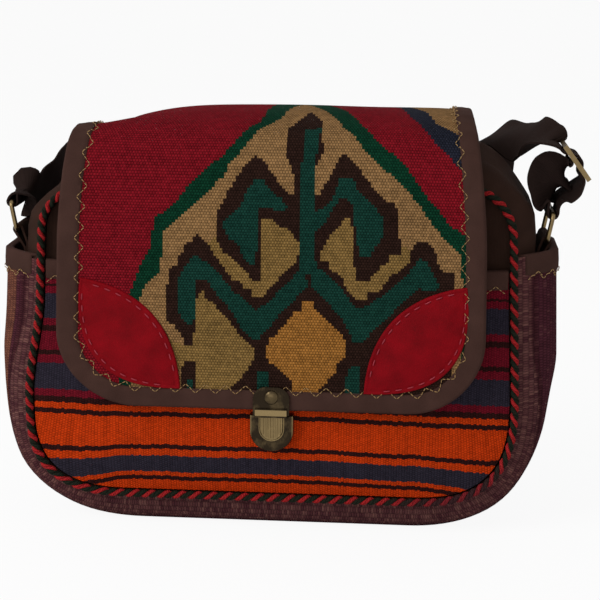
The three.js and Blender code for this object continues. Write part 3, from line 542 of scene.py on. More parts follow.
# Shading
class Wire:
    """A socket that takes part in arithmetic: each operation adds a Math node."""

    def __init__(self, nodes, socket):
        self.nodes = nodes
        self.socket = socket

    def __add__(self, other):
        return self.nodes.math("ADD", self, other)

    __radd__ = __add__

    def __sub__(self, other):
        return self.nodes.math("SUBTRACT", self, other)

    def __rsub__(self, other):
        return self.nodes.math("SUBTRACT", other, self)

    def __mul__(self, other):
        return self.nodes.math("MULTIPLY", self, other)

    __rmul__ = __mul__

    def __truediv__(self, other):
        return self.nodes.math("DIVIDE", self, other)

    def __pow__(self, other):
        return self.nodes.math("POWER", self, other)

    def floor(self):
        return self.nodes.math("FLOOR", self, 0.0)

    def fraction(self):
        return self.nodes.math("FRACT", self, 0.0)

    def sine(self):
        return self.nodes.math("SINE", self, 0.0)

    def size(self):
        return self.nodes.math("ABSOLUTE", self, 0.0)

    def over(self, edge):
        return self.nodes.math("GREATER_THAN", self, edge)

    def least(self, other):
        return self.nodes.math("MINIMUM", self, other)

    def most(self, other):
        return self.nodes.math("MAXIMUM", self, other)


class Nodes:
    """The node tree of one finish or of the world."""

    def __init__(self, owner):
        owner.use_nodes = True
        self.tree = owner.node_tree
        self.tree.nodes.clear()

    def add(self, kind, settings=None, inputs=None, output=0):
        """Adds a node, sets its settings first and then its sockets, and returns one output."""
        node = self.tree.nodes.new(kind)
        for name, value in (settings or {}).items():
            if name == "stops":
                self.set_stops(node.color_ramp, value)
            elif name == "interpolation":
                node.color_ramp.interpolation = value
            else:
                setattr(node, name, value)
        for name, value in (inputs or {}).items():
            if isinstance(value, Wire):
                self.tree.links.new(value.socket, node.inputs[name])
            else:
                node.inputs[name].default_value = value
        return Wire(self, node.outputs[output]) if len(node.outputs) else None

    @staticmethod
    def set_stops(ramp, stops):
        while len(ramp.elements) < len(stops):
            ramp.elements.new(1.0)
        for element, (place, colour) in zip(ramp.elements, stops):
            element.position = place
            element.color = colour

    def math(self, operation, a, b):
        return self.add("ShaderNodeMath", {"operation": operation}, {0: a, 1: b})

    def split(self, vector):
        first = self.add("ShaderNodeSeparateXYZ", {}, {0: vector})
        return [Wire(self, socket) for socket in first.socket.node.outputs]

    def combine(self, x, y, z=0.0):
        return self.add("ShaderNodeCombineXYZ", {}, {0: x, 1: y, 2: z})

    def cloth_place(self):
        """Place on the cloth, across and along, in millimetres."""
        across, up = self.split(self.add("ShaderNodeUVMap", {"uv_map": "cloth"}))[:2]
        return across / MM, up / MM

    def body_place(self):
        """Place on the bag in millimetres."""
        where = self.add("ShaderNodeTexCoord", {}, {}, "Object")
        return [axis / MM for axis in self.split(where)]

    def noise(self, x, y, z, scale, detail=2.0):
        place = self.combine(x, y, z)
        return self.add("ShaderNodeTexNoise", {}, {"Vector": place, "Scale": scale, "Detail": detail}, 0)

    def random(self, x, y):
        settings = {"noise_dimensions": "2D"}
        return self.add("ShaderNodeTexWhiteNoise", settings, {"Vector": self.combine(x, y)})

    def smooth(self, value, low, high):
        limits = {"Value": value, "From Min": low, "From Max": high}
        return self.add("ShaderNodeMapRange", {"interpolation_type": "SMOOTHSTEP"}, limits)

    def scaled(self, colour, factor):
        """A colour made lighter or darker."""
        vector = colour[:3] if isinstance(colour, tuple) else colour
        return self.add("ShaderNodeVectorMath", {"operation": "SCALE"}, {0: vector, "Scale": factor})

    def mixed(self, share, first, second):
        return self.add("ShaderNodeMix", {"data_type": "RGBA"}, {0: share, 6: first, 7: second}, 2)

    def weave(self, across, up, warp, weft):
        """Height of a weft-faced weave: beads in rows, every other row set over by half a bead."""
        row = (up / weft).floor()
        cell = across / warp + row * 0.5
        bead = (cell * math.pi).sine().size()
        ridge = ((up / weft).fraction() * math.pi).sine()
        height = (bead * ridge) ** 0.6
        return height, self.random(cell.floor(), row)

    def rib(self, across, up, pitch, strand):
        """Height of a plain ribbed cloth: fine warps with an uneven weft between them."""
        warps = (across * (math.pi / pitch)).sine().size()
        wefts = (up * (math.pi / strand)).sine().size()
        return warps * 0.6 + wefts * 0.4

    def finish(self, colour, roughness, height=None, depth=0.3, **constants):
        """The principled surface: depth is the relief's height in millimetres."""
        sockets = {"Base Color": colour, "Roughness": roughness}
        if height is not None:
            sockets["Normal"] = self.add(
                "ShaderNodeBump", {}, {"Height": height, "Distance": depth * MM, "Strength": 1.0})
        sockets.update({name.replace("_", " "): value for name, value in constants.items()})
        surface = self.add("ShaderNodeBsdfPrincipled", {}, sockets)
        self.add("ShaderNodeOutputMaterial", {}, {"Surface": surface})

    def wool(self, colour, light, height, depth):
        """A matt wool surface, its colour scaled by light, which holds painted shade in the weave's
        hollows and the wool's own uneven tone.
        """
        shaded = self.scaled(colour, light)
        self.finish(shaded, WOOL_ROUGHNESS, height, depth, Specular_IOR_Level=WOOL_SHINE)

    def seen(self):
        """1 for rays from the camera, from gloss and through glass, to which the studio is white."""
        camera = self.add("ShaderNodeLightPath", {}, {}, "Is Camera Ray")
        outputs = camera.socket.node.outputs
        glossy = Wire(self, outputs["Is Glossy Ray"])
        clear = Wire(self, outputs["Is Transmission Ray"])
        return camera.most(glossy).most(clear)


def finish_named(name, make):
    """The finish of that name, made on first use."""
    known = bpy.data.materials.get(name)
    if known:
        return known
    material = bpy.data.materials.new(name)
    make(Nodes(material), bpy.context.scene.bag_colours)
    return material


def flap_weave_finish(nodes, colours):
    sizes = bpy.context.scene.bag_sizes
    across, up = nodes.cloth_place()
    height, bead = nodes.weave(across, up, mm(sizes.warp), mm(sizes.weft))
    wool = nodes.add("ShaderNodeVertexColor", {"layer_name": "pattern"})
    streak = nodes.noise(across * 0.02, up * 0.35, 0.0, 1.0)
    cloud = nodes.noise(across, up, 0.0, 0.03)
    # Painted shade: the height term darkens the hollows between the weave's beads; the bead, streak and
    # cloud terms are the wool's own uneven tone.
    light = 0.45 + height * 0.72 + (bead - 0.5) * 0.35
    light = light + (streak - 0.5) * 0.4 + (cloud - 0.5) * 0.3
    nodes.wool(wool, light, height, 0.55)


def pocket_stripe_stops(colours):
    """Heights at which each stripe of the pocket begins, from the bottom."""
    orange, crimson = linear(colours.orange), linear(colours.crimson)
    slate, umber = linear(colours.slate), linear(colours.umber)
    return [
        (0.0, orange), (30.5, umber), (34.3, orange), (37.1, slate), (48.9, orange), (53.2, umber),
        (56.4, orange), (75.3, umber), (78.8, orange), (82.2, umber), (86.2, crimson), (91.0, slate),
        (108.4, crimson), (113.3, umber), (116.6, crimson), (129.4, umber), (133.1, crimson),
        (137.7, slate), (154.0, crimson), (158.6, umber), (160.6, crimson),
    ]


def pocket_stripe_finish(nodes, colours):
    across, up = nodes.cloth_place()
    wander = nodes.noise(across, up * 0.3, 0.0, 0.02)
    jitter = nodes.random((across / 1.7).floor(), 0.0)
    along_ = across / STRIPE_HALF_WIDTH
    bow = 1.9 - along_ * along_ * 3.2 - along_ * 1.2
    level = (up - bow + (wander - 0.5) * 3.0 + (jitter - 0.5) * 0.9) / STRIPE_SPAN
    stops = [(z / STRIPE_SPAN, colour) for z, colour in pocket_stripe_stops(colours)]
    wool = nodes.add(
        "ShaderNodeValToRGB", {"interpolation": "CONSTANT", "stops": stops}, {"Fac": level})
    height, bead = nodes.weave(up, across, 1.5, 1.7)
    streak = nodes.noise(across * 0.25, up * 0.03, 0.0, 1.0)
    # Painted shade: the height term darkens the hollows between the beads; the bead and streak terms are
    # the wool's own uneven tone.
    light = 0.62 + height * 0.45 + (bead - 0.5) * 0.25 + (streak - 0.5) * 0.5
    nodes.wool(wool, light, height, 0.4)


def side_stripe_finish(nodes, colours):
    """Columns of beads: speckled beside the piping, then wine, then terracotta on the left bulge."""
    across, up = nodes.cloth_place()
    body_x = nodes.body_place()[0]
    height, bead = nodes.weave(up, across, 1.7, 2.3)
    left = nodes.smooth(0.0 - body_x, 70.0, 120.0)
    wine, mauve, umber = linear(colours.wine), linear(colours.mauve), linear(colours.umber)
    low = 1.0 - nodes.smooth(nodes.body_place()[2], 75.0, 135.0)
    speckled = 1.0 - nodes.smooth(across + 44.0 - low * 4.5, 3.5, 4.5)
    gap = 1.0 - nodes.smooth((across + 39.0 - low * 4.5).size(), 1.0, 2.0)
    bulge = 1.0 - nodes.smooth((across + 3.0).size(), 31.0, 32.0)
    wool = nodes.mixed(speckled * (0.12 + bead * 0.5) + bead.over(0.9) * 0.15, wine, mauve)
    wool = nodes.mixed(gap * 0.45, wool, umber)
    wool = nodes.mixed(left * bulge * (0.65 + bead * 0.3), wool, linear(colours.terracotta))
    cloud = nodes.noise(across, up, 0.0, 0.05)
    # Painted shade: the height term darkens the hollows between the beads; the bead and cloud terms are
    # the wool's own uneven tone.
    light = 0.55 + height * 0.6 + (bead - 0.5) * 0.3 + (cloud - 0.5) * 0.4
    nodes.wool(wool, light, height, 0.5)


def cloth_finish(colour_name, pitch, depth, wear=0.3):
    """A plain cloth finish in one colour of the list."""
    def make(nodes, colours):
        across, up = nodes.cloth_place()
        height = nodes.rib(across, up, pitch, pitch * 0.8)
        cloud = nodes.noise(across, up, 0.0, 0.06, 4.0)
        fibre = nodes.noise(across * 1.3, up * 1.3, 0.0, 1.0, 2.0)
        # Painted shade: the height term darkens the hollows of the weave; the cloud and fibre terms are
        # the cloth's own uneven tone and wear.
        light = 0.72 + height * 0.2 + (cloud - 0.5) * wear * 2.0 + (fibre - 0.5) * 0.35
        cloth = nodes.scaled(linear(getattr(colours, colour_name)), light)
        nodes.finish(cloth, 0.92, height, depth, Specular_IOR_Level=0.04)
    return make


def thread_finish(colour_name):
    def make(nodes, colours):
        across, up = nodes.cloth_place()
        twist = ((across * 2.6 + up * 2.0) * math.pi).sine().size()
        # Painted shade: the twist term darkens the grooves between the thread's turns.
        thread = nodes.scaled(linear(getattr(colours, colour_name)), 0.65 + twist * 0.4)
        nodes.finish(thread, 0.7, twist, 0.1, Specular_IOR_Level=0.3)
    return make


def cord_finish(colour_name):
    def make(nodes, colours):
        across, up = nodes.cloth_place()
        ply = ((across * 0.55 + up * 0.5) * math.pi).sine().size()
        body_x, body_y, body_z = nodes.body_place()
        # Painted shade: low on the bag's right side the cord is mixed towards wine, standing in for the
        # shade that falls there.
        lower_right_shade = nodes.smooth(body_x, 60.0, 120.0) * (1.0 - nodes.smooth(body_z, 24.0, 60.0))
        fuzz = nodes.noise(body_x, body_y, body_z, 0.6, 3.0)
        cord = nodes.mixed(lower_right_shade * 0.6, linear(getattr(colours, colour_name)), linear(colours.wine))
        # The ply term paints shade between the cord's plies; fuzz is the cord's own uneven tone.
        cord = nodes.scaled(cord, 0.6 + ply * 0.3 + fuzz * 0.3)
        nodes.finish(cord, 0.85, ply + fuzz * 0.4, 0.3, Specular_IOR_Level=0.04)
    return make


def leather_finish(nodes, colours):
    across, up = nodes.cloth_place()
    grain = nodes.add(
        "ShaderNodeTexVoronoi", {"feature": "DISTANCE_TO_EDGE"},
        {"Vector": nodes.combine(across, up), "Scale": 0.9})
    pores = nodes.smooth(grain, 0.0, 0.25)
    cloud = nodes.noise(across, up, 0.0, 0.06, 3.0)
    hide = nodes.scaled(linear(colours.leather), 0.8 + pores * 0.15 + (cloud - 0.5) * 0.9)
    nodes.finish(hide, 0.6 + (cloud - 0.5) * 0.2, pores + cloud * 1.5, 0.12, Specular_IOR_Level=0.05)


def lock_edge_highlight(nodes, x, y, z):
    """The lock's outer edges, kept clear of patina: a painted highlight."""
    return nodes.smooth(x.size(), 12.3, 13.6) * 0.75


def tongue_bar(nodes, x, y, z):
    """The front face of the tongue's bar, kept clear of patina and so brighter."""
    level = 1.0 - nodes.smooth((z - 85.7).size(), 1.7, 2.1)
    return nodes.smooth(0.0 - y, 70.9, 71.3) * level


def brass_finish(patina_share, kept_bright=None):
    """Worn brass: the patina covers that share of it, in soft clouds and fine scratches."""
    def make(nodes, colours):
        x, y, z = nodes.body_place()
        cloud = nodes.noise(x, y, z, 0.12, 3.0)
        scratch = nodes.noise(x * 3.0, y * 3.0, z * 0.4, 1.0, 2.0)
        worn = nodes.smooth(cloud + (scratch - 0.5) * 0.35, 0.35, 0.75)
        patina = patina_share + (0.5 - worn) * 0.3
        # Where a mask is given, those places keep clear of patina and show brighter; on the lock's outer
        # edges this is a painted highlight.
        if kept_bright:
            patina = patina * (1.0 - kept_bright(nodes, x, y, z))
        metal = nodes.mixed(patina.most(0.0).least(1.0), linear(colours.brass), linear(colours.patina))
        nodes.finish(metal, 0.3 + (scratch - 0.5) * 0.2, cloud + scratch * 0.4, 0.04, Metallic=1.0)
    return make


def steel_finish(nodes, colours):
    x, y, z = nodes.body_place()
    brushed = nodes.noise(x * 0.4, y * 4.0, z * 4.0, 1.0, 2.0)
    metal = nodes.scaled(linear(colours.steel), 0.8 + brushed * 0.3)
    nodes.finish(metal, 0.3 + brushed * 0.2, brushed, 0.02, Metallic=1.0)


FINISHES = {
    "flap_weave": flap_weave_finish,
    "pocket_stripes": pocket_stripe_finish,
    "side_stripes": side_stripe_finish,
    "canvas": cloth_finish("canvas", 0.9, 0.22),
    "tape": cloth_finish("tape", 0.7, 0.18),
    "lining": cloth_finish("lining", 0.6, 0.1),
    "strap": cloth_finish("strap", 1.0, 0.25),
    "thread": thread_finish("thread"),
    "leather_thread": thread_finish("leather_thread"),
    "cord_red": cord_finish("cord_red"),
    "cord_dark": cord_finish("cord_dark"),
    "leather": leather_finish,
    "brass": brass_finish(0.25),
    "dark_brass": brass_finish(0.85),
    # The lock's brass, with a painted highlight on its outer edges.
    "lock_brass": brass_finish(0.9, lock_edge_highlight),
    "tongue_brass": brass_finish(0.95, tongue_bar),
    "bright_brass": brass_finish(0.08),
    "steel": steel_finish,
}


def finish(name):
    return finish_named(f"{name} finish", FINISHES[name])


# The body's seam outline and the band of cloth round it
Station = namedtuple("Station", "angle front back swell strip flat")
LOW_X = SEAM_WIDTH / 2 - BOTTOM_CORNER
LOW_Z = SEAM_LIFT + BOTTOM_CORNER
SIDE_REACH = LOW_X * math.cos(TAPER) + LOW_Z * math.sin(TAPER) + BOTTOM_CORNER
BOTTOM_STRIP_SWELL = SEAM_LIFT - KILIM - CLEARANCE - CANVAS
BOTTOM_SWELL = BOTTOM_STRIP_SWELL - CLEARANCE


def side_x(z):
    return (SIDE_REACH - z * math.sin(TAPER)) / math.cos(TAPER)


def high_centre(top):
    z = top - TOP_CORNER
    return (SIDE_REACH - TOP_CORNER - z * math.sin(TAPER)) / math.cos(TAPER), z


def swell_shape(u, flat):
    return 1 - (np.maximum(0, np.abs(u) - flat) / (1 - flat)) ** 2


def bottom_station(x):
    place = (x, SEAM_LIFT)
    return Station(-math.pi / 2, place, place, BOTTOM_SWELL, BOTTOM_STRIP_SWELL, BOTTOM_FLAT)


def low_station(share):
    angle = lerp(-math.pi / 2, TAPER, share)
    blend = float(ease(0.0, 1.0, share))
    place = (LOW_X + BOTTOM_CORNER * math.cos(angle), LOW_Z + BOTTOM_CORNER * math.sin(angle))
    return Station(
        angle, place, place, lerp(BOTTOM_SWELL, SIDE_SWELL, blend),
        lerp(BOTTOM_STRIP_SWELL, SIDE_POCKET_SWELL, blend), lerp(BOTTOM_FLAT, SIDE_FLAT, blend))


def side_station(z):
    return Station(TAPER, (side_x(z), z), (side_x(z), z), SIDE_SWELL, SIDE_POCKET_SWELL, SIDE_FLAT)


def high_station(share):
    angle = lerp(TAPER, math.pi / 2, share)
    places = []
    for top in (FRONT_TOP, BACK_TOP):
        x, z = high_centre(top)
        places.append((x + TOP_CORNER * math.cos(angle), z + TOP_CORNER * math.sin(angle)))
    return Station(angle, *places, lerp(SIDE_SWELL, TOP_SWELL, share), SIDE_POCKET_SWELL, SIDE_FLAT)


def band_point(station, u, out):
    """A point on the right side of the band; u runs from the front seam, -1, to the back seam, 1."""
    share = (np.asarray(u) + 1) / 2
    x = lerp(station.front[0], station.back[0], share) + math.cos(station.angle) * out
    z = lerp(station.front[1], station.back[1], share) + math.sin(station.angle) * out
    return np.stack(np.broadcast_arrays(x, np.asarray(u) * HALF_DEPTH, z), -1)


def gusset_out(station, u):
    return CANVAS + station.swell * swell_shape(u, station.flat)


def gusset_in(station, u):
    return gusset_out(station, u) - CANVAS


def strip_in(station, u):
    return CANVAS + CLEARANCE + station.strip * swell_shape(u, station.flat)


def strip_out(station, u):
    return strip_in(station, u) + KILIM


def band(stations, us, outer, inner):
    """A closed cloth round the body, from the left end under the bottom to the right end."""
    right = np.stack([
        np.stack([band_point(s, us, outer(s, us)), band_point(s, us, inner(s, us))]) for s in stations])
    left = right[:0:-1] * (-1, 1, 1)
    both = np.concatenate([left, right])
    travelled = along(both[:, 0, len(us) // 2])
    travelled -= travelled[-1] / 2
    uv = np.stack(np.meshgrid(us * HALF_DEPTH, travelled), -1)
    return shell(both[:, 0], both[:, 1], uv)


ACROSS = np.linspace(-1, 1, 61)
LOW_STATIONS = [bottom_station(x) for x in np.linspace(0, LOW_X, 10)[:-1]]
LOW_STATIONS += [low_station(share) for share in np.linspace(0, 1, 25)]


def arc(centre, radius, first, last, count):
    """Points of a circle from one angle to another."""
    turns = np.linspace(first, last, count)
    return [(centre[0] + radius * math.cos(a), centre[1] + radius * math.sin(a)) for a in turns]


def between(start, end, count):
    """Points of a straight line, without its two ends."""
    shares = np.linspace(0, 1, count)[1:-1]
    return [(lerp(start[0], end[0], f), lerp(start[1], end[1], f)) for f in shares]


def outline_rows(top, inset):
    """Half width and height of the seam outline, from the bottom to the top."""
    low = arc((LOW_X, LOW_Z), BOTTOM_CORNER - inset, -math.pi / 2, TAPER, 22)
    high = arc(high_centre(top), TOP_CORNER - inset, TAPER, math.pi / 2, 14)
    return np.array(low + between(low[-1], high[0], 16) + high)


# Piping, and stitches on any cloth
def piping_line(top, end):
    """The piping's line on the right side, from the bottom's middle up to an angle of the top corner."""
    line = [(x, SEAM_LIFT - PIPING_OUT) for x in np.linspace(0, LOW_X, 40)[:-1]]
    line += arc((LOW_X, LOW_Z), BOTTOM_CORNER + PIPING_OUT, -math.pi / 2, TAPER, 60)
    high = arc(high_centre(top), TOP_CORNER + PIPING_OUT, TAPER, end, 30)
    line += between(line[-1], high[0], 60) + high
    if end >= math.pi / 2:
        line += [(lerp(line[-1][0], 0, f), line[-1][1]) for f in np.linspace(0, 1, 50)[1:]]
    return np.array(line)


def piping_strand(line, y, phase, radius, pitch, thick):
    """One of the two strands that twist round each other along a flat line."""
    travelled = along(line)
    count = int(travelled[-1] / pitch * 18)
    where = np.linspace(0, travelled[-1], count)
    x, z = np.interp(where, travelled, line[:, 0]), np.interp(where, travelled, line[:, 1])
    flat = np.stack([x, np.full(count, y), z], -1)
    run = unit(np.gradient(flat, axis=0))
    beside = np.cross(run, (0.0, 1.0, 0.0))
    turn = 2 * math.pi * where / pitch + phase
    away = np.cos(turn)[:, None] * beside + np.sin(turn)[:, None] * np.array([0.0, 1.0, 0.0])
    return tube(flat + away * radius * (1.04 - thick), away, radius * thick, sides=9)


def zigzag_stitches(length, period, reach):
    """Ends of the short stitches of a three-step zigzag, as places along and across its line."""
    dashes = []
    for k in range(int(length // period)):
        for leg in range(2):
            sign = 1 if leg == 0 else -1
            for step in range(3):
                shares = np.array([(step + 0.12) / 3, (step + 0.88) / 3])
                lengths = (k + (leg + shares) / 2) * period
                sides = sign * reach * (2 * shares - 1)
                dashes.append(np.stack([lengths, sides], -1))
    return np.array(dashes)


def running_stitches(length, stitch, step):
    starts = np.arange(step / 2, length - stitch, step)
    return np.stack([np.stack([starts, 0 * starts], -1), np.stack([starts + stitch, 0 * starts], -1)], 1)


def sewn(dashes, place, radius, rise=0.8):
    """Threads on a surface: place gives a point for a length, a distance across and a lift."""
    shares = np.linspace(0, 1, 5)
    both = dashes[:, None, 0] * (1 - shares)[None, :, None] + dashes[:, None, 1] * shares[None, :, None]
    lift = radius * (rise * np.sin(math.pi * shares) - 0.15)
    lift = np.broadcast_to(lift, both.shape[:2])
    paths = place(both[..., 0], both[..., 1], lift)
    ups = place(both[..., 0], both[..., 1], lift + 1.0) - paths
    return threads(paths, ups, radius)


# The flap's cloth and what is sewn on it
class Flap:
    """The flap's cloth: x across, s up from its front edge over the top to the back, h outward."""

    def __init__(self, sizes):
        pocket_face = -(HALF_DEPTH + CLEARANCE + KILIM) - POCKET_SWELL
        front = pocket_face - FLAP_STANDOFF
        back = HALF_DEPTH + TAPE + 2 * CLEARANCE
        dome = (FRONT_TOP + BACK_TOP) / 2 + CANVAS + TOP_SWELL
        top = dome + FLAP_HEADROOM
        level = FRONT_TOP - FLAP_STRAIGHT
        knots = [
            (front, level), (front * 0.99, FRONT_TOP - 15),
            (front * 0.93, lerp(FRONT_TOP, top, 0.3)), (front * 0.76, lerp(FRONT_TOP, top, 0.7)),
            (-HALF_DEPTH * 0.55, top - 2.5), (0, top), (HALF_DEPTH * 0.5, top - 1.2),
            (HALF_DEPTH * 0.86, lerp(BACK_TOP, top, 0.62)), (back + 0.6, BACK_TOP + 1),
            (back, BACK_TOP - 22), (back, FLAP_BACK_EDGE),
        ]
        straight = [(front, z) for z in np.linspace(FLAP_FRONT_EDGE, level, 20)[:-1]]
        line = np.concatenate([np.array(straight), spline(knots, 12)])
        run = unit(np.gradient(line, axis=0))
        self.front = front
        self.line = line
        self.normal = np.stack([-run[:, 1], run[:, 0]], -1)
        self.travelled = along(line)
        self.length = self.travelled[-1]
        self.droop = mm(sizes.flap_droop)
        self.narrowing = mm(sizes.flap_narrowing)

    def half(self, s):
        return lerp(FLAP_FRONT_WIDTH, FLAP_BACK_WIDTH, np.asarray(s) / self.length) / 2

    def point(self, x, s, h):
        x, s, h = np.broadcast_arrays(np.asarray(x, float), np.asarray(s, float), np.asarray(h, float))
        y, z = (np.interp(s, self.travelled, self.line[:, k]) for k in (0, 1))
        ny, nz = (np.interp(s, self.travelled, self.normal[:, k]) for k in (0, 1))
        top = ease(*FLAP_TOP_START, s) * (1 - ease(*FLAP_TOP_END, s))
        share = x / (FLAP_BACK_WIDTH / 2)
        behind = np.interp(s, *SINK_PROFILE)
        sink = self.droop * behind * np.abs(np.minimum(share, 0)) ** 3
        sink = sink + FLAP_RIGHT_SINK * top * np.maximum(share, 0) ** 4
        sink = sink + FLAP_CORNER_SINK * behind * ease(*FLAP_CORNER_SHARES, -share)
        wave = FLAP_WAVE * ripple(x, s, FLAP_WAVE_LENGTH, 0.6) * ease(*FLAP_WAVE_START, s)
        drawn = x - self.narrowing * top * share - FLAP_LEFT_OUT * np.minimum(share, 0) ** 4
        return np.stack([drawn, y + ny * (h + wave), z + nz * (h + wave) - sink], -1)

    def edge(self, inset, step=2.0):
        """Places along the edge from the back on the left round the front to the back on the right.

        Each row holds x, s and the way inward in x and s."""
        radius = FLAP_CORNER - inset
        lengths = np.arange(self.length, FLAP_CORNER, -step)
        side = [(-(self.half(s) - inset), s, 1.0, 0.0) for s in lengths]
        centre = -(self.half(FLAP_CORNER) - FLAP_CORNER)
        turns = np.linspace(0, math.pi / 2, max(8, int(radius * 1.57 / step)))
        corner = [
            (centre - radius * math.cos(a), FLAP_CORNER - radius * math.sin(a), math.cos(a), math.sin(a))
            for a in turns]
        front = [(x, inset, 0.0, 1.0) for x in np.arange(centre + step, 0, step)]
        left = np.array(side + corner + front)
        return np.concatenate([left, left[::-1] * (-1, 1, -1, 1)])


FLAP_FACE = LINING + CLEARANCE + KILIM

# Wool shapes on the flap: places in millimetres across from the middle and up from the front edge
GREEN_DIAMOND = (
    (14, 255), (-4, 240), (-7, 225), (-11, 186), (-19, 178), (-24, 171), (-28, 165), (-35, 158),
    (-45, 150), (-53, 143), (-61, 132), (-67, 126), (-74, 122), (-75, 113), (-77, 101), (-82, 92),
    (-88, 77), (-96, 60), (-96, 0), (140, 0), (140, 112), (118, 116), (110, 121), (102, 131), (94, 140),
    (89, 148), (80, 159), (67, 168), (56, 183), (43, 210), (35, 226), (30, 240),
)
BEIGE_DIAMOND = (
    (15, 236), (10, 228), (7, 217), (2, 192), (-4, 184), (-13, 175), (-18, 167), (-23, 160), (-28, 156),
    (-31, 148), (-36, 144), (-42, 137), (-49, 131), (-55, 125), (-60, 120), (-69, 112), (-69, 102),
    (-70, 87), (-76, 83), (-80, 77), (-88, 60), (-88, 0), (118, 0), (118, 84), (116, 104), (109, 110),
    (105, 114), (100, 120), (95, 127), (90, 134), (85, 140), (80, 145), (74, 150), (66, 156), (61, 161),
    (56, 166), (51, 173), (44, 180), (36, 196), (24, 217), (20, 228),
)
DARK_HOOKS = (
    (21, 203), (29, 188), (31, 162), (28, 158), (26, 151), (26, 138), (28, 137), (33, 145), (38, 153),
    (42, 161), (46, 161), (52, 156), (58, 148), (64, 141), (70, 135), (75, 134), (77, 130), (78, 116),
    (80, 104), (85, 104), (90, 111), (96, 111), (101, 104), (102, 98), (106, 92), (112, 92), (113, 84),
    (113, 0), (-57, 0), (-57, 30), (-50, 40), (-54, 40), (-57, 47), (-61, 53), (-66, 56), (-66, 77),
    (-64, 90), (-60, 92), (-59, 97), (-56, 101), (-55, 106), (-51, 107), (-48, 113), (-45, 110),
    (-40, 105), (-36, 110), (-36, 125), (-31, 134), (-28, 140), (-23, 148), (-17, 155), (-12, 159),
    (-7, 157), (-1, 150), (6, 141), (10, 137), (13, 137), (12, 150), (8, 159), (7, 164), (8, 179),
    (14, 189),
)
TEAL_STEM = (
    (18, 178), (29, 180), (28, 166), (26, 158), (26, 137), (27, 88), (16, 88), (16, 136), (17, 150),
    (18, 160),
)
TEAL_LEFT_HOOK = (
    (-11, 147), (-7, 146), (-1, 140), (6, 134), (9, 129), (4, 127), (-3, 130), (-8, 130), (-10, 125),
    (-9, 114), (-11, 94), (-15, 94), (-19, 99), (-21, 106), (-27, 109), (-31, 116), (-31, 121),
    (-26, 125), (-21, 129), (-17, 140),
)
TEAL_RIGHT_HOOK = (
    (42, 148), (49, 148), (51, 146), (53, 140), (58, 137), (63, 132), (68, 125), (68, 113), (63, 105),
    (60, 100), (54, 101), (52, 111), (49, 133), (43, 137), (39, 132), (35, 127), (33, 121), (27, 115),
    (25, 127), (28, 128), (37, 135), (40, 143),
)
TEAL_LEFT_ZIGZAG = (
    (-48, 99), (-42, 95), (-34, 88), (-25, 77), (-16, 70), (-10, 65), (-4, 69), (3, 76), (9, 82),
    (14, 88), (18, 93), (23, 81), (18, 77), (13, 71), (6, 64), (-2, 53), (-9, 46), (-13, 46), (-19, 52),
    (-23, 60), (-30, 69), (-36, 76), (-42, 84), (-48, 84), (-48, 58), (-52, 54), (-57, 58), (-60, 66),
    (-60, 80), (-57, 88), (-52, 95),
)
TEAL_RIGHT_ZIGZAG = (
    (25, 93), (31, 91), (37, 85), (44, 79), (49, 72), (54, 67), (60, 70), (67, 75), (80, 86), (85, 91),
    (88, 96), (91, 100), (95, 99), (100, 90), (104, 82), (97, 79), (91, 81), (79, 70), (72, 62),
    (66, 57), (61, 51), (56, 46), (51, 46), (46, 57), (42, 63), (34, 71), (27, 78), (23, 81),
)
STRAW_LEFT_LEAF = (
    (-7, 122), (-1, 122), (3, 118), (7, 118), (12, 114), (16, 108), (16, 102), (15, 96), (10, 92),
    (3, 84), (-2, 79), (-6, 73), (-12, 73), (-13, 79), (-18, 78), (-20, 83), (-25, 84), (-30, 91),
    (-35, 97), (-41, 107), (-36, 110), (-31, 101), (-27, 99), (-22, 94), (-16, 89), (-13, 83), (-8, 83),
)
STRAW_RIGHT_LEAF = (
    (43, 123), (47, 124), (49, 119), (50, 100), (52, 85), (60, 85), (61, 89), (65, 90), (67, 95),
    (71, 96), (73, 102), (79, 102), (80, 108), (86, 105), (85, 98), (79, 92), (73, 89), (71, 85),
    (67, 79), (60, 78), (59, 74), (53, 73), (46, 80), (43, 88), (36, 91), (35, 96), (29, 98), (29, 103),
    (31, 105), (35, 112), (41, 118),
)
STRAW_LOW_LEAF = (
    (-47, 75), (-42, 76), (-42, 71), (-37, 69), (-32, 62), (-26, 57), (-22, 50), (-18, 46), (-11, 40),
    (-12, 32), (-15, 27), (-20, 20), (-26, 15), (-30, 8), (-47, 8), (-49, 30), (-55, 30), (-57, 26),
    (-64, 26), (-64, 44), (-54, 40), (-50, 40), (-48, 59),
)
OCHRE_DIAMOND = (
    (19, 72), (25, 72), (26, 67), (29, 64), (34, 60), (41, 54), (46, 47), (47, 37), (40, 31), (40, 26),
    (35, 20), (30, 15), (30, 6), (14, 6), (13, 20), (8, 24), (3, 29), (-2, 32), (-4, 38), (-2, 46),
    (3, 50), (8, 56), (14, 64), (19, 66),
)
TEAL_FOOT_LEFT = ((-10, 26), (-2, 26), (-2, 13), (-10, 13))
TEAL_FOOT_RIGHT = ((46, 22), (50, 31), (55, 31), (55, 8), (45, 8))
TEAL_SPOT = ((-54, 19), (-50, 19), (-50, 8), (-54, 8))
NAVY_BAND = (
    (66, 255), (81, 228), (87, 201), (96, 183), (102, 171), (106, 167), (112, 161), (116, 156),
    (140, 138), (140, 165), (116, 180), (113, 183), (104, 191), (98, 216), (91, 228), (77, 255),
)
BEIGE_CORNER = (
    (77, 255), (91, 228), (98, 216), (104, 191), (113, 183), (116, 180), (140, 165), (140, 255),
)
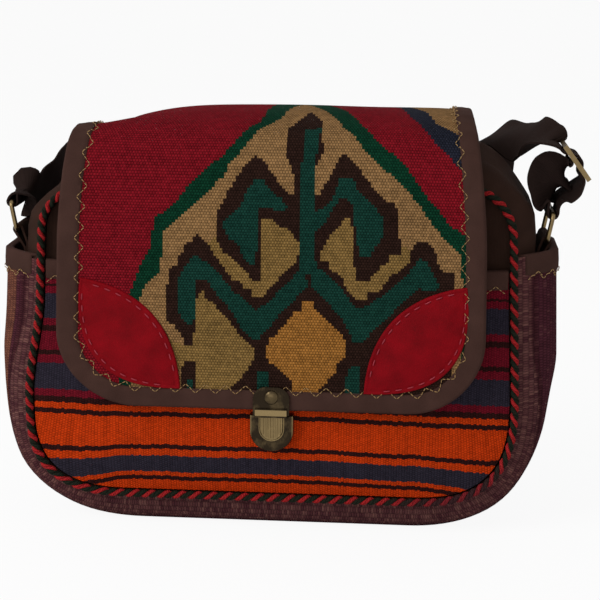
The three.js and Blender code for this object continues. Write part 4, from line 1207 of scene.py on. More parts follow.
WOOL_SHAPES = (
    ("green", GREEN_DIAMOND), ("beige", BEIGE_DIAMOND), ("dark", DARK_HOOKS), ("teal", TEAL_STEM),
    ("teal", TEAL_LEFT_HOOK), ("teal", TEAL_RIGHT_HOOK), ("teal", TEAL_LEFT_ZIGZAG),
    ("teal", TEAL_RIGHT_ZIGZAG), ("straw", STRAW_LEFT_LEAF), ("straw", STRAW_RIGHT_LEAF),
    ("straw", STRAW_LOW_LEAF), ("ochre", OCHRE_DIAMOND), ("teal", TEAL_FOOT_LEFT),
    ("teal", TEAL_FOOT_RIGHT), ("teal", TEAL_SPOT), ("navy", NAVY_BAND), ("beige", BEIGE_CORNER),
)


def inside(outline, x, s):
    """Which places lie inside an outline."""
    within = np.zeros(x.shape, bool)
    for (x0, s0), (x1, s1) in zip(outline, outline[1:] + outline[:1]):
        if s0 == s1:
            continue
        crosses = (s0 > s) != (s1 > s)
        within ^= crosses & (x < (x1 - x0) * (s - s0) / (s1 - s0) + x0)
    return within


def wool_colours(colours, x, s):
    """Colour of the weave at each place, shape over shape."""
    wool = np.empty((*x.shape, 4))
    wool[:] = linear(colours.red)
    for name, outline in WOOL_SHAPES:
        wool[inside(outline, x, s)] = linear(getattr(colours, name))
    return wool


def flap_kilim(flap, sizes, colours):
    """The flap's weave, one face for each bead, and the colour of each face."""
    warp, weft = mm(sizes.warp), mm(sizes.weft)
    cols = int(FLAP_FRONT_WIDTH / 2 / warp)
    xs = np.arange(-cols, cols + 1) * warp
    ss = np.arange(0, int(flap.length / weft) + 1) * weft
    x, s = np.meshgrid(xs, ss)
    quads = grid_quads(*x.shape)
    middle_x, middle_s = x.ravel()[quads].mean(1), s.ravel()[quads].mean(1)
    edge = 3.0
    radius = FLAP_CORNER - edge
    half = flap.half(middle_s) - edge
    away_x = np.maximum(0, np.abs(middle_x) - (half - radius))
    away_s = np.maximum(0, FLAP_CORNER - middle_s)
    keep = (np.abs(middle_x) < half) & (np.hypot(away_x, away_s) < radius) & (middle_s > edge)
    quads = quads[keep]
    used, quads = np.unique(quads, return_inverse=True)
    quads = quads.reshape(-1, 4)
    x, s = x.ravel()[used], s.ravel()[used]
    outer = flap.point(x, s, FLAP_FACE)
    inner = flap.point(x, s, LINING + CLEARANCE)
    uv = np.stack([x, s], -1)
    faces = with_back(quads, len(used))
    form = Form(np.concatenate([outer, inner]), faces, np.concatenate([uv, uv]))
    shades = wool_colours(colours, middle_x[keep], middle_s[keep])
    others = sum(len(group) for group in form.faces[1:])
    plain = np.tile(linear(colours.red), (others, 1))
    return form.facing_out(), np.concatenate([shades, plain])


def flap_lining(flap):
    edge = 2.0
    rows = np.linspace(edge, flap.length - 1.0, 120)
    cols = np.linspace(-1, 1, 70)
    radius = FLAP_CORNER - edge
    away = np.maximum(0, FLAP_CORNER - rows)
    half = flap.half(rows) - edge - radius + np.sqrt(np.maximum(radius ** 2 - away ** 2, 0))
    x = half[:, None] * cols[None]
    s = np.broadcast_to(rows[:, None], x.shape)
    return shell(flap.point(x, s, LINING), flap.point(x, s, 0.0), np.stack([x, s], -1))


def flap_binding(flap):
    """Tape folded over the flap's edge, with a rounded fold and edges that lie on the cloth."""
    low, high = -TAPE - CLEARANCE, FLAP_FACE + CLEARANCE + TAPE
    fold = np.linspace(math.pi / 2, -math.pi / 2, 9)
    middle, tall = (low + high) / 2, (high - low) / 2
    outer = [
        (FLAP_BINDING, FLAP_FACE + 0.15), (FLAP_BINDING - 0.6, high - 0.2),
        (FLAP_BINDING - 3, high + 0.1), (7.0, high + 0.25), (4.0, high),
    ]
    outer += [(2.2 - 2.2 * math.cos(a), middle + tall * math.sin(a)) for a in fold]
    outer += [(6.0, low), (FLAP_BINDING - 0.6, low), (FLAP_BINDING, low + 0.5)]
    inner = [(FLAP_BINDING, low + TAPE), (4.0, low + TAPE)]
    inner += [(3.0 - 1.6 * math.cos(a), middle + (tall - TAPE) * math.sin(a)) for a in fold[::-2]]
    inner += [(4.5, high - TAPE)]
    section = np.array(outer + inner)
    edge = flap.edge(0.0)
    reach, out = section[:, 0], section[:, 1]
    x = edge[:, 0, None] + edge[:, 2, None] * reach
    s = edge[:, 1, None] + edge[:, 3, None] * reach
    lumps = 0.15 * np.sin(along(edge[:, :2]) / 2.1)[:, None]
    return swept(flap.point(x, np.clip(s, 0, flap.length), out + lumps * (out > 2)))


def flap_zigzag(flap, sizes):
    edge = flap.edge(FLAP_BINDING + 0.2)
    travelled = along(edge[:, :2])

    def place(length, across, lift):
        x, s, in_x, in_s = (np.interp(length, travelled, edge[:, k]) for k in range(4))
        height = np.where(across > 0, FLAP_FACE, FLAP_FACE + TAPE + CLEARANCE) + FLAP_ZIGZAG_LIFT
        return flap.point(x + in_x * across, s + in_s * across, height + lift)

    dashes = zigzag_stitches(travelled[-1], mm(sizes.zigzag), mm(sizes.zigzag_reach))
    return sewn(dashes, place, mm(sizes.thread))


def leaf_line():
    """Tips of the right leaf and the way across it, in the flap's x and s."""
    half = FLAP_FRONT_WIDTH / 2
    outer = np.array([half - LEAF_OUTER[0], LEAF_OUTER[1]])
    inner = np.array([half - LEAF_INNER[0], LEAF_INNER[1]])
    chord = inner - outer
    return outer, chord, unit(np.array([-chord[1], chord[0]]))


def leaf_width(share):
    """Half of the leaf's width at a share of its length."""
    return 4 * share * (1 - share) * (LEAF_UPPER_BOW + LEAF_LOWER_BOW) / 2


def leaf_place(share, across):
    """A place in the right leaf: share runs from the outer tip, across from -1 above to 1 below."""
    outer, chord, lower = leaf_line()
    bow = 4 * share * (1 - share)
    reach = lerp(-LEAF_UPPER_BOW, LEAF_LOWER_BOW, (across + 1) / 2) * bow
    return outer + share[..., None] * chord + reach[..., None] * lower


def leaf_patch(flap, sizes):
    shares = 0.5 - 0.5 * np.cos(np.linspace(0.04, math.pi - 0.04, 70))
    across = np.sin(np.linspace(-math.pi / 2, math.pi / 2, 45))
    a, b = np.meshgrid(shares, across, indexing="ij")
    place = leaf_place(a, b)
    inset = (1 - np.abs(b)) * leaf_width(a)
    base = FLAP_FACE + CLEARANCE
    rolled = LEATHER * np.sqrt(np.clip(1 - (1 - np.clip(inset / 1.2, 0, 1)) ** 2, 0, 1))
    groove = LEAF_GROOVE * np.exp(-((inset - LEAF_SEAM) / 1.1) ** 2)
    pucker = LEAF_PUCKER * np.exp(-((inset - 2.5) / 2.5) ** 2) * np.sin(a * 70)
    uneven = 0.25 * ripple(place[..., 0], place[..., 1], 9.0, 0.3)
    puff = mm(sizes.leaf_puff) * ease(4, 20, inset) + uneven
    top = base + rolled - groove + pucker + puff * ease(0, 6, inset)
    outer = flap.point(place[..., 0], place[..., 1], top)
    inner = flap.point(place[..., 0], place[..., 1], base - 0.25)
    return shell(outer, inner, place)


def leaf_stitches(flap, sizes):
    shares = np.linspace(0.06, 0.94, 120)
    width = leaf_width(shares)
    forms = []
    for side in (-1, 1):
        across = side * np.clip(1 - LEAF_SEAM / np.maximum(width, 1e-3), 0, 1)
        line = leaf_place(shares, across)
        travelled = along(line)
        dashes = running_stitches(travelled[-1], mm(sizes.stitch), mm(sizes.stitch_step))

        def place(length, beside, lift):
            x, s = (np.interp(length, travelled, line[:, k]) for k in (0, 1))
            return flap.point(x, s, FLAP_FACE + CLEARANCE + LEATHER + 0.05 + lift)

        forms.append(sewn(dashes, place, mm(sizes.thread) * 1.4))
    return joined(forms)


# Settling of the worn cloth
def settled(form):
    """The body's cloth let down at its shoulders, most at the left, under the flap and the strap."""
    x, y, z = form.points.T
    sag = np.where(x < 0, np.interp(y, SHOULDER_Y, LEFT_SAG), np.interp(y, SHOULDER_Y, RIGHT_SAG))
    drawn_in = np.where(x < 0, np.interp(y, SHOULDER_Y, LEFT_IN), np.interp(y, SHOULDER_Y, RIGHT_IN))
    moved = z - sag * ease(*SAG_X, np.abs(x)) * ease(*SAG_Z, z)
    fall = np.where(x < 0, ease(*LEFT_IN_Z, z), ease(*RIGHT_IN_Z, z))
    bulge = ease(*SWELL_FOOT_Z, z) * ease(*SWELL_HEAD_Z, z) * ease(*SWELL_Y, np.abs(y))
    shift = np.where(x > 0, RIGHT_SWELL, 0.0) * bulge - drawn_in * fall
    form.points[:, 0] = x + np.sign(x) * shift * ease(*SHOULDER_X, np.abs(x))
    form.points[:, 2] = moved
    return form


def pocket_hung(form):
    """The side pockets' cloth with the left mouth let down and the right one raised a little."""
    x, z = form.points[:, 0], form.points[:, 2]
    shift = np.where(x < 0, -POCKET_DROP_LEFT, POCKET_LIFT_RIGHT)
    form.points[:, 2] = z + shift * ease(POCKET_HANG_FROM, SIDE_POCKET_TOP - SIDE_BINDING, z)
    return form


def cornered(form):
    """The bottom corners drawn out squarer at the front seam and flatter in the middle of the band."""
    x, y, z = form.points.T
    beside, below = np.abs(x) - LOW_X, LOW_Z - z
    reach = np.maximum(np.hypot(beside, below), 1e-6)
    turn = np.where((beside > 0) & (below > 0), (2 * beside * below / reach ** 2) ** 2, 0.0)
    front = np.where(x < 0, CORNER_OUT_LEFT, CORNER_OUT_RIGHT)
    fore = ease(*FORE_Y, y)
    grow = lerp(-CORNER_FLAT * (1 - ease(0, HALF_DEPTH, y)), front, fore)
    shift = grow * turn * np.minimum(1, reach / BOTTOM_CORNER) ** 2 / reach
    side_in = np.where(x < 0, SIDE_IN_LEFT, SIDE_IN_RIGHT) * (1 - fore) * (1 - ease(*SIDE_IN_Y, y))
    slim = side_in * ease(*SIDE_IN_HEAD_Z, z) * ease(*SIDE_IN_FOOT_Z, z)
    front_out = np.where(x < 0, FRONT_OUT_LEFT, 0.0) * fore
    front_out = front_out * ease(*FRONT_OUT_HEAD_Z, z) * ease(*FRONT_OUT_FOOT_Z, z)
    across = (front_out - slim) * ease(*CORNER_X, np.abs(x))
    form.points[:, 0] = x + np.sign(x) * (beside * shift + across)
    form.points[:, 2] = np.maximum(z - below * shift, np.minimum(z, CORNER_LOWEST))
    return form


# Front pocket
PIPING_INSET = PIPING_RADIUS - PIPING_OUT + CLEARANCE
POCKET_BASE = -(HALF_DEPTH + CLEARANCE + KILIM)


def pocket_front(across, z):
    rise = np.clip((z - SEAM_LIFT - PIPING_INSET) / POCKET_RISE, 0, 1)
    return POCKET_BASE - POCKET_SWELL * swell_shape(across, POCKET_FLAT) * (1 - (1 - rise) ** 2)


def pocket_rows():
    rows = outline_rows(FRONT_TOP, PIPING_INSET)
    rows = rows[rows[:, 1] < POCKET_TOP - 3]
    ends = [(side_x(z) - PIPING_INSET, z) for z in np.linspace(rows[-1, 1] + 4, POCKET_TOP, 6)]
    return np.concatenate([rows, ends])


def pocket_grid():
    rows = pocket_rows()
    fine = np.linspace(0, len(rows) - 1, 90)
    half = np.interp(fine, np.arange(len(rows)), rows[:, 0])
    z = np.interp(fine, np.arange(len(rows)), rows[:, 1])
    crowding = 0.92
    turns = np.linspace(-math.pi / 2, math.pi / 2, 101) * crowding
    c = np.sin(turns) / math.sin(math.pi / 2 * crowding)
    x, z = np.broadcast_arrays(half[:, None] * c[None], z[:, None])
    return x, np.broadcast_to(c, x.shape), z


def pocket_cloth():
    x, c, z = pocket_grid()
    calm = (1 - c ** 6) * ease(*POCKET_WAVE_START, z) * (1 - ease(*POCKET_WAVE_END, z))
    y = pocket_front(c, z) + POCKET_WAVE * ripple(x, z, POCKET_WAVE_LENGTH, 1.1) * calm
    outer = np.stack([x, y, z], -1)
    inner = np.stack([x, y + KILIM, z], -1)
    return shell(outer, inner, np.stack([x, z], -1))


def tape_section(near, far, foot, top):
    """Outline of a folded tape, as distances outward and heights, drawn once round."""
    middle, half = (near + far) / 2, (far - near) / 2
    fold = np.linspace(0, math.pi, 9)
    outside = [(far + TAPE - 0.6, foot), (far + TAPE, foot + 0.8), (far + TAPE + 0.2, (foot + top) / 2)]
    over = [(middle + (half + TAPE) * math.cos(a), top + (TAPE + 0.2) * math.sin(a)) for a in fold]
    inside_out = [(near - TAPE, foot + 0.8), (near - TAPE + 0.6, foot)]
    under = [(near, foot), (near, top - 0.4), (far, top - 0.4), (far, foot)]
    return np.array(outside + over + inside_out + under)


def pocket_binding():
    half = side_x(POCKET_TOP) - PIPING_INSET
    c = np.linspace(-1, 1, 120)
    front = pocket_front(c, POCKET_TOP)
    section = tape_section(
        -CLEARANCE - KILIM, CLEARANCE, POCKET_TOP - POCKET_BINDING, POCKET_TOP + CLEARANCE)
    rows = np.stack(np.broadcast_arrays(
        (c * half)[:, None], front[:, None] - section[None, :, 0], section[None, :, 1]), -1)
    return swept(rows)


def pocket_zigzag(sizes):
    half = side_x(POCKET_TOP) - PIPING_INSET
    line = np.linspace(-half, half, 200)

    def place(length, across, lift):
        x = length - half
        out = np.where(across > 0, CLEARANCE + TAPE, 0.0) + POCKET_ZIGZAG_LIFT
        y = pocket_front(x / half, POCKET_TOP) - out - lift
        return np.stack([x, y, POCKET_TOP - POCKET_BINDING + across], -1)

    dashes = zigzag_stitches(line[-1] - line[0], mm(sizes.zigzag), mm(sizes.zigzag_reach))
    return sewn(dashes, place, mm(sizes.thread))


def side_binding():
    """Binding of the right side pocket's mouth."""
    us = np.linspace(-0.95, 0.95, 60)
    rows = []
    for u in us:
        base = strip_in(side_station(SIDE_POCKET_TOP), u)
        section = tape_section(base - CLEARANCE, base + KILIM + CLEARANCE,
                               SIDE_POCKET_TOP - SIDE_BINDING, SIDE_POCKET_TOP + CLEARANCE)
        rows.append([band_point(side_station(z), u, out) for out, z in section])
    return swept(np.array(rows))


def side_zigzag(sizes):
    us = np.linspace(-0.93, 0.93, 120)
    base = strip_in(side_station(SIDE_POCKET_TOP), us)
    line = np.stack([us * HALF_DEPTH, base], -1)
    travelled = along(line)

    def place(length, across, lift):
        y = np.interp(length, travelled, line[:, 0])
        out = np.interp(length, travelled, line[:, 1]) + KILIM
        out = out + np.where(across > 0, CLEARANCE + TAPE, 0.0) + POCKET_ZIGZAG_LIFT + lift
        z = SIDE_POCKET_TOP - SIDE_BINDING + across
        return np.stack([side_x(z) + out, y, z], -1)

    dashes = zigzag_stitches(travelled[-1], mm(sizes.zigzag), mm(sizes.zigzag_reach))
    return sewn(dashes, place, mm(sizes.thread))


# Panels inside the seams
def panel(top, front, back, bulge):
    rows = outline_rows(top, CLEARANCE)
    c = np.linspace(-1, 1, 61)
    x = rows[:, 0, None] * c[None]
    z = np.broadcast_to(rows[:, 1, None], x.shape)
    calm = (1 - c[None] ** 4) * np.sin(np.clip((z - SEAM_LIFT) / (top - SEAM_LIFT), 0, 1) * math.pi)
    waves = PANEL_WAVE * ripple(x, z, PANEL_WAVE_LENGTH, 2.0) * calm
    y = bulge * calm * (1 - ease(*PANEL_BULGE_END, z)) + waves
    outer = np.stack([x, front + y, z], -1)
    inner = np.stack([x, back + y, z], -1)
    return shell(outer, inner, np.stack([x, z], -1))


# Rings, tabs and strap
RING_UP = SIDE_POCKET_TOP + RING_RISE
RING_LOW = np.array([side_x(RING_UP) + CANVAS + SIDE_SWELL + RING_OUT, 0.0, RING_UP])
RING_HIGH = RING_LOW + RING_HEIGHT * np.array([math.sin(RING_LEAN), 0.0, math.cos(RING_LEAN)])


def strap_ring():
    half = RING_LENGTH / 2
    corners = [
        (half - RING_CORNER, RING_CORNER, -90), (half - RING_CORNER, RING_HEIGHT - RING_CORNER, 0),
        (RING_CORNER - half, RING_HEIGHT - RING_CORNER, 90), (RING_CORNER - half, RING_CORNER, 180),
    ]
    path = []
    for y, z, start in corners:
        for turn in np.radians(np.linspace(start, start + 90, 9)):
            path.append((0.0, y + RING_CORNER * math.cos(turn), z + RING_CORNER * math.sin(turn)))
    path = np.array(path)
    lean = np.stack([path[:, 2] * math.sin(RING_LEAN), path[:, 1], path[:, 2] * math.cos(RING_LEAN)], -1)
    ups = np.tile((math.cos(RING_LEAN), 0.0, -math.sin(RING_LEAN)), (len(path), 1))
    return tube(lean + RING_LOW, ups, RING_WIRE, sides=14, closed=True)


def strap_tab():
    """Canvas folded round the ring's lower bar, its two ends sewn to the gusset inside the pocket."""
    eye = RING_WIRE + CLEARANCE + 0.1 + CANVAS / 2
    bend = RING_UP - TAB_BEND

    def wall(z):
        return side_x(z) + (CANVAS + SIDE_SWELL + CLEARANCE) / math.cos(TAPER)

    line = [(wall(z) + 1.5 * CANVAS, z) for z in np.linspace(TAB_FOOT, bend, 8)]
    line += [(RING_LOW[0] + eye * math.cos(a), RING_UP + eye * math.sin(a))
             for a in np.radians(np.linspace(-45, 165, 20))]
    line += [(wall(z) + 0.5 * CANVAS, z) for z in np.linspace(bend + 3, TAB_FOOT, 8)]
    line = np.array(line)
    run = unit(np.gradient(line, axis=0))
    normal = np.stack([run[:, 1], -run[:, 0]], -1) * (CANVAS / 2 - 0.08)
    y = np.linspace(-TAB_WIDTH / 2, TAB_WIDTH / 2, 19)
    grids = []
    for sign in (1, -1):
        edge = line + sign * normal
        grids.append(np.stack(np.broadcast_arrays(edge[:, None, 0], y[None], edge[:, None, 1]), -1))
    uv = np.stack(np.meshgrid(y, along(line)), -1)
    return shell(grids[0], grids[1], uv)


def stop(x, y, z, *width):
    return (np.array([x, y, z], float), np.array(width or (0, 1, 0), float))


def round_bar(centre, run, out, before, after):
    """Stops of a strap that comes down one side of a bar, passes under it and goes up the other side."""
    run, out = np.array(run), np.array(out)
    slant = 0.72 * WRAP
    turns = [(0, -WRAP), (-slant, -slant), (-WRAP, 0), (-slant, slant), (0, WRAP)]
    return [stop(*(centre + run * a + out * o)) for a, o in [*before, *turns, *after]]


def strap_stops():
    """The strap's route in three lots: round the left ring, behind the bag, and round the right ring."""
    under = -(SLIDER_BAR + STRAP_THICKNESS) / 2 - CLEARANCE
    bar = (SLIDER_LENGTH - SLIDER_BAR) / 2

    def on_slider(along_, off):
        return stop(*(SLIDER_PLACE + SLIDER_RUN * along_ + SLIDER_OUT * off))

    left_high = RING_HIGH * (-1, 1, 1)
    left = round_bar(left_high, (0.2, 0, 0.98), (-0.98, 0, 0.2), [(6, -2.2), (3, -2.6)], [(2.5, 2.5)])
    left += [stop(-171, 3, 212, 0.25, 0.95, 0.1), stop(-168.5, 12, 208.5, 0.3, 0.8, 0.45),
             stop(-165.5, 28, 208.5, 0.2, 0.3, 0.9)]
    behind = [
        stop(-161.5, 43, 212, 0.22, -0.2, 0.95), stop(-155.5, 57, 218.5, 0.05, -0.3, 0.95),
        stop(-146.5, 70, 220, -0.4, -0.1, 0.9), stop(-137.5, 78, 208, -0.85, 0.1, 0.5),
        stop(-129.5, 80.5, 187, -0.95, 0.25, 0.1), stop(-120, 80, 155, -0.7, 0.7, 0),
        stop(-100, 79, 110, -0.45, 0.9, 0), stop(-72, 79, 68, -0.2, 0.98, 0),
        stop(-37, 80, 43), stop(0, 81, 35), stop(37, 80, 43), stop(72, 79, 68, 0.2, 0.98, 0),
        stop(100, 79, 110, 0.45, 0.9, 0), stop(120, 80, 160, 0.7, 0.7, 0),
        stop(133, 81, 205, 0.9, 0.4, 0),
        stop(139, 80, 230, 0.85, 0.5, 0.2), stop(138.5, 71, 247, 0.5, 0.8, 0.25),
        stop(148, 52, 251, 0.35, 0.85, 0.22), stop(159, 32, 250.5, 0.1, 0.88, 0.45),
        stop(166, 13, 251, 0.1, 0.95, 0.25), stop(171, 3.5, 251.8),
        on_slider(bar + 4, under - 1.8),
        on_slider(bar + 1, under - 0.4), on_slider(bar - 2.4, under + 0.2),
        on_slider(bar / 2, 0), on_slider(2.4, -under - 0.2), on_slider(0, -under),
        on_slider(-2.4, -under - 0.2), on_slider(-bar / 2, 0), on_slider(2.4 - bar, under + 0.2),
        on_slider(-bar - 1, under),
    ]
    right = [stop(190, 2, 222, -0.1, 0.98, 0.1), stop(182, 1, 215.5, -0.1, 0.98, 0.1)]
    right += round_bar(RING_HIGH, (0.12, 0, 0.993), (-0.993, 0, 0.12), [(5, -3.4)], [(5, 3.6)])
    right += [stop(174, 0, 216.5, 0.2, 0.97, 0), stop(174, -2.5, 221.5, 0.65, 0.76, 0),
              stop(175, -3, 227, 0.93, 0.37, 0), stop(178.5, -1, 231.5, 0.92, 0.38, -0.1),
              stop(183.5, 2, 236.5, 0.25, 0.96, 0),
              on_slider(0.5, under), on_slider(3, under - 0.2)]
    return left, behind, right


def strap_lines():
    """Middle line and width direction of the whole strap, and where its three lots begin and end."""
    left, behind, right = strap_stops()
    stops = left + behind + right
    path = spline([place for place, width in stops], STRAP_PER_STOP)
    width = spline([width for place, width in stops], STRAP_PER_STOP, power=0.0)
    run = unit(np.gradient(path, axis=0))
    width = unit(width - run * np.sum(width * run, axis=1, keepdims=True))
    ends = [len(left) * STRAP_PER_STOP, (len(left) + len(behind) - 1) * STRAP_PER_STOP]
    return path, width, run, ends


def gathered(path):
    """Share of its width that the strap keeps where it is curled: at its left fold and in the slider."""
    fold = np.linalg.norm(path - STRAP_FOLD, axis=1) / STRAP_FOLD_REACH
    slide = np.linalg.norm(path - SLIDER_PLACE, axis=1) / STRAP_FOLD_REACH
    return 1 - STRAP_FOLD_CURL * np.exp(-fold ** 2) - STRAP_SLIDER_CURL * np.exp(-slide ** 2)


def strap_cloth(path, width, run, sizes):
    across = np.linspace(-1, 1, 15)
    thin = mm(sizes.strap_thickness) / 2 * np.sqrt(1 - 0.75 * np.abs(across) ** 8)
    up = np.cross(run, width)
    half = (gathered(path) * mm(sizes.strap_width) / 2)[:, None] * across
    middle = path[:, None] + width[:, None] * half[..., None]
    lift = up[:, None] * thin[None, :, None]
    uv = np.stack(np.meshgrid(across * mm(sizes.strap_width) / 2, along(path)), -1)
    return shell(middle + lift, middle - lift, uv)


# Zip under the flap
ZIP_HALF = high_centre(BACK_TOP)[0] - CLEARANCE
ZIP_SLOPE = math.atan2(BACK_TOP - FRONT_TOP, 2 * HALF_DEPTH)
DOME_TOP = (FRONT_TOP + BACK_TOP) / 2 + CANVAS + TOP_SWELL
TEETH_WIDTH = 6.4
TOOTH_CORNERS = np.array([(x, y, z) for z in (-1, 1) for x, y in SQUARE])
TOOTH_FACES = np.array([
    [0, 3, 2, 1], [4, 5, 6, 7], [0, 1, 5, 4], [1, 2, 6, 5], [2, 3, 7, 6], [3, 0, 4, 7],
])


def zip_tape(us):
    xs = np.linspace(-ZIP_HALF, ZIP_HALF, 60)
    top = high_station(1.0)
    out = gusset_out(top, us)
    grids = []
    for depth in (0.0, LINING):
        row = band_point(top, us, out - depth)
        grid = np.repeat(row[None], len(xs), 0)
        grid[:, :, 0] = xs[:, None]
        grids.append(grid)
    return shell(grids[0], grids[1], np.stack(np.meshgrid(us * HALF_DEPTH, xs), -1))


def zip_teeth():
    """Moulded teeth, each a small wedge, the two rows set over by half a pitch."""
    pitch, length, height = 2.2, 1.25, 2.4
    margin = 4
    across, outer, up = TOOTH_CORNERS.T
    y = np.where(outer > 0, TEETH_WIDTH / 2 - 0.2, -0.7)
    waist = np.where(outer > 0, 1.0, 0.8)
    z = up * height / 2 * waist - LINING / 2
    forms = []
    for side in (-1, 1):
        first = -ZIP_HALF + margin + (pitch / 2 if side > 0 else 0)
        for x in np.arange(first, ZIP_HALF - margin, pitch):
            points = np.stack([x + across * length / 2 * waist, side * y, z], -1)
            forms.append(Form(points, [TOOTH_FACES], points[:, :2]).facing_out())
    form = joined(forms)
    y, z = form.points[:, 1].copy(), form.points[:, 2].copy()
    form.points[:, 1] = y * math.cos(ZIP_SLOPE) - z * math.sin(ZIP_SLOPE)
    form.points[:, 2] = y * math.sin(ZIP_SLOPE) + z * math.cos(ZIP_SLOPE) + DOME_TOP
    return form


# Lock
def well_rim():
    """A thin raised wire round the button's well on the lock's face."""
    low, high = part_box("lock_button")
    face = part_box("lock_body")[0][1] / MM
    half = (high[0] - low[0]) / MM / 2 + WELL_GAP
    middle = low[2] / MM + (high[0] - low[0]) / MM / 2
    turns = np.radians(np.linspace(180, 360, 25))
    line = [(-half, face, z) for z in np.linspace(high[2] / MM - 1, middle, 8)[:-1]]
    line += [(half * math.cos(a), face, middle + half * math.sin(a)) for a in turns]
    line += [(half, face, z) for z in np.linspace(middle, high[2] / MM - 1, 8)[1:]]
    line = np.array(line)
    return tube(line, np.tile((0.0, -1.0, 0.0), (len(line), 1)), WELL_RIM, sides=8)


def spring_leaf():
    """The button's bowed leaf spring, its ends against the lock's back wall."""
    low, high = (np.array(corner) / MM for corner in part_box("lock_spring"))
    share = np.linspace(0, 1, SPRING_STEPS)
    bow = high[1] - low[1] - SPRING_LEAF
    back = high[1] - bow * np.sin(math.pi * share)
    level = lerp(high[2], low[2], share)
    sides = [np.stack([np.full(SPRING_STEPS, x), back, level], -1) for x in (low[0], high[0])]
    far = np.stack(sides, 1)
    near = far - (0.0, SPRING_LEAF, 0.0)
    return shell(near, far, far[..., [0, 2]])


# Operators
class BAG_OT_body(bpy.types.Operator):
    """Make the gusset, the striped side and bottom strip and the two panels."""
    bl_idname = "bag.body"
    bl_label = "Body"

    def execute(self, context):
        stations = LOW_STATIONS + [side_station(z) for z in np.linspace(SIDE_START, SIDE_END, 22)]
        stations += [high_station(share) for share in np.linspace(0, 1, 15)[1:]]
        gusset = band(stations, ACROSS, gusset_out, gusset_in)
        piece("gusset_canvas", settled(cornered(gusset)), finish("canvas"), ["gusset"])
        stations = LOW_STATIONS + [side_station(z) for z in np.linspace(SIDE_START, SIDE_POCKET_TOP, 20)]
        strip = pocket_hung(cornered(band(stations, ACROSS, strip_out, strip_in)))
        stripes = finish("side_stripes")
        piece("side_bottom_weave", strip, stripes, ["side_bottom_kilim"])
        face = -HALF_DEPTH + TAPE + 2 * CLEARANCE
        front = panel(FRONT_TOP, face, face + CANVAS, 0.0)
        piece("front_panel_canvas", settled(cornered(front)), finish("canvas"), ["front_panel"])
        back = panel(BACK_TOP, HALF_DEPTH, HALF_DEPTH - KILIM, 3.0)
        piece("back_panel_canvas", settled(back), finish("canvas"), ["back_panel"])
        return {"FINISHED"}


class BAG_OT_piping(bpy.types.Operator):
    """Twist the red and dark cords along the front and back seams."""
    bl_idname = "bag.piping"
    bl_label = "Piping"

    def execute(self, context):
        sizes = context.scene.bag_sizes
        radius, pitch = mm(sizes.piping_radius), mm(sizes.piping_pitch)
        y = HALF_DEPTH + CLEARANCE + PIPING_RADIUS
        for name, top, end, place in (("front", FRONT_TOP, math.pi / 2, -y),
                                      ("back", BACK_TOP, math.radians(60), y)):
            right = piping_line(top, end)
            line = np.concatenate([right[:0:-1] * (-1, 1), right])
            for colour, phase, thick in (("red", 0.0, 0.5), ("dark", math.pi, 0.62)):
                strand = piping_strand(line, place, phase, radius, pitch, thick)
                strand = settled(cornered(strand))
                cord = finish(f"cord_{colour}")
                piece(f"{name}_piping_{colour}", strand, cord, [f"{name}_piping"])
        return {"FINISHED"}


class BAG_OT_pockets(bpy.types.Operator):
    """Make the striped front pocket and the bindings of the three pocket mouths."""
    bl_idname = "bag.pockets"
    bl_label = "Pockets"

    def execute(self, context):
        sizes = context.scene.bag_sizes
        cloth = cornered(pocket_cloth())
        piece("front_pocket_weave", cloth, finish("pocket_stripes"), ["front_pocket"])
        piece("front_pocket_tape", pocket_binding(), finish("tape"), ["front_pocket_binding"])
        piece("front_pocket_zigzag", pocket_zigzag(sizes), finish("thread"))
        tape, zigzag = side_binding(), side_zigzag(sizes)
        for side, turn in SIDES:
            hung = pocket_hung(turn(tape))
            binding = f"side_pocket_binding_{side}"
            piece(f"side_pocket_tape_{side}", hung, finish("tape"), [binding])
            piece(f"side_pocket_zigzag_{side}", pocket_hung(turn(zigzag)), finish("thread"))
        return {"FINISHED"}


class BAG_OT_flap(bpy.types.Operator):
    """Make the flap's weave, lining, binding and zigzag stitching."""
    bl_idname = "bag.flap"
    bl_label = "Flap"

    def execute(self, context):
        sizes, colours = context.scene.bag_sizes, context.scene.bag_colours
        flap = Flap(sizes)
        weave, shades = flap_kilim(flap, sizes, colours)
        cloth = piece(
            "flap_weave", weave, finish("flap_weave"), ["flap_kilim"], shades=shades)
        lining = piece(
            "flap_lining_cloth", flap_lining(flap), finish("lining"), ["flap_lining"])
        tape = piece("flap_tape", flap_binding(flap), finish("tape"), ["flap_binding"])
        zigzag = piece("flap_zigzag", flap_zigzag(flap, sizes), finish("thread"))
        return {"FINISHED"}


class BAG_OT_leaves(bpy.types.Operator):
    """Make the two leather leaves and their running stitches."""
    bl_idname = "bag.leaves"
    bl_label = "Leather leaves"

    def execute(self, context):
        sizes = context.scene.bag_sizes
        flap = Flap(sizes)
        leaf, stitches = leaf_patch(flap, sizes), leaf_stitches(flap, sizes)
        for side, turn in SIDES:
            piece(f"leaf_{side}", turn(leaf), finish("leather"), [f"leaf_patch_{side}"])
            piece(f"leaf_stitches_{side}", turn(stitches), finish("leather_thread"))
        return {"FINISHED"}


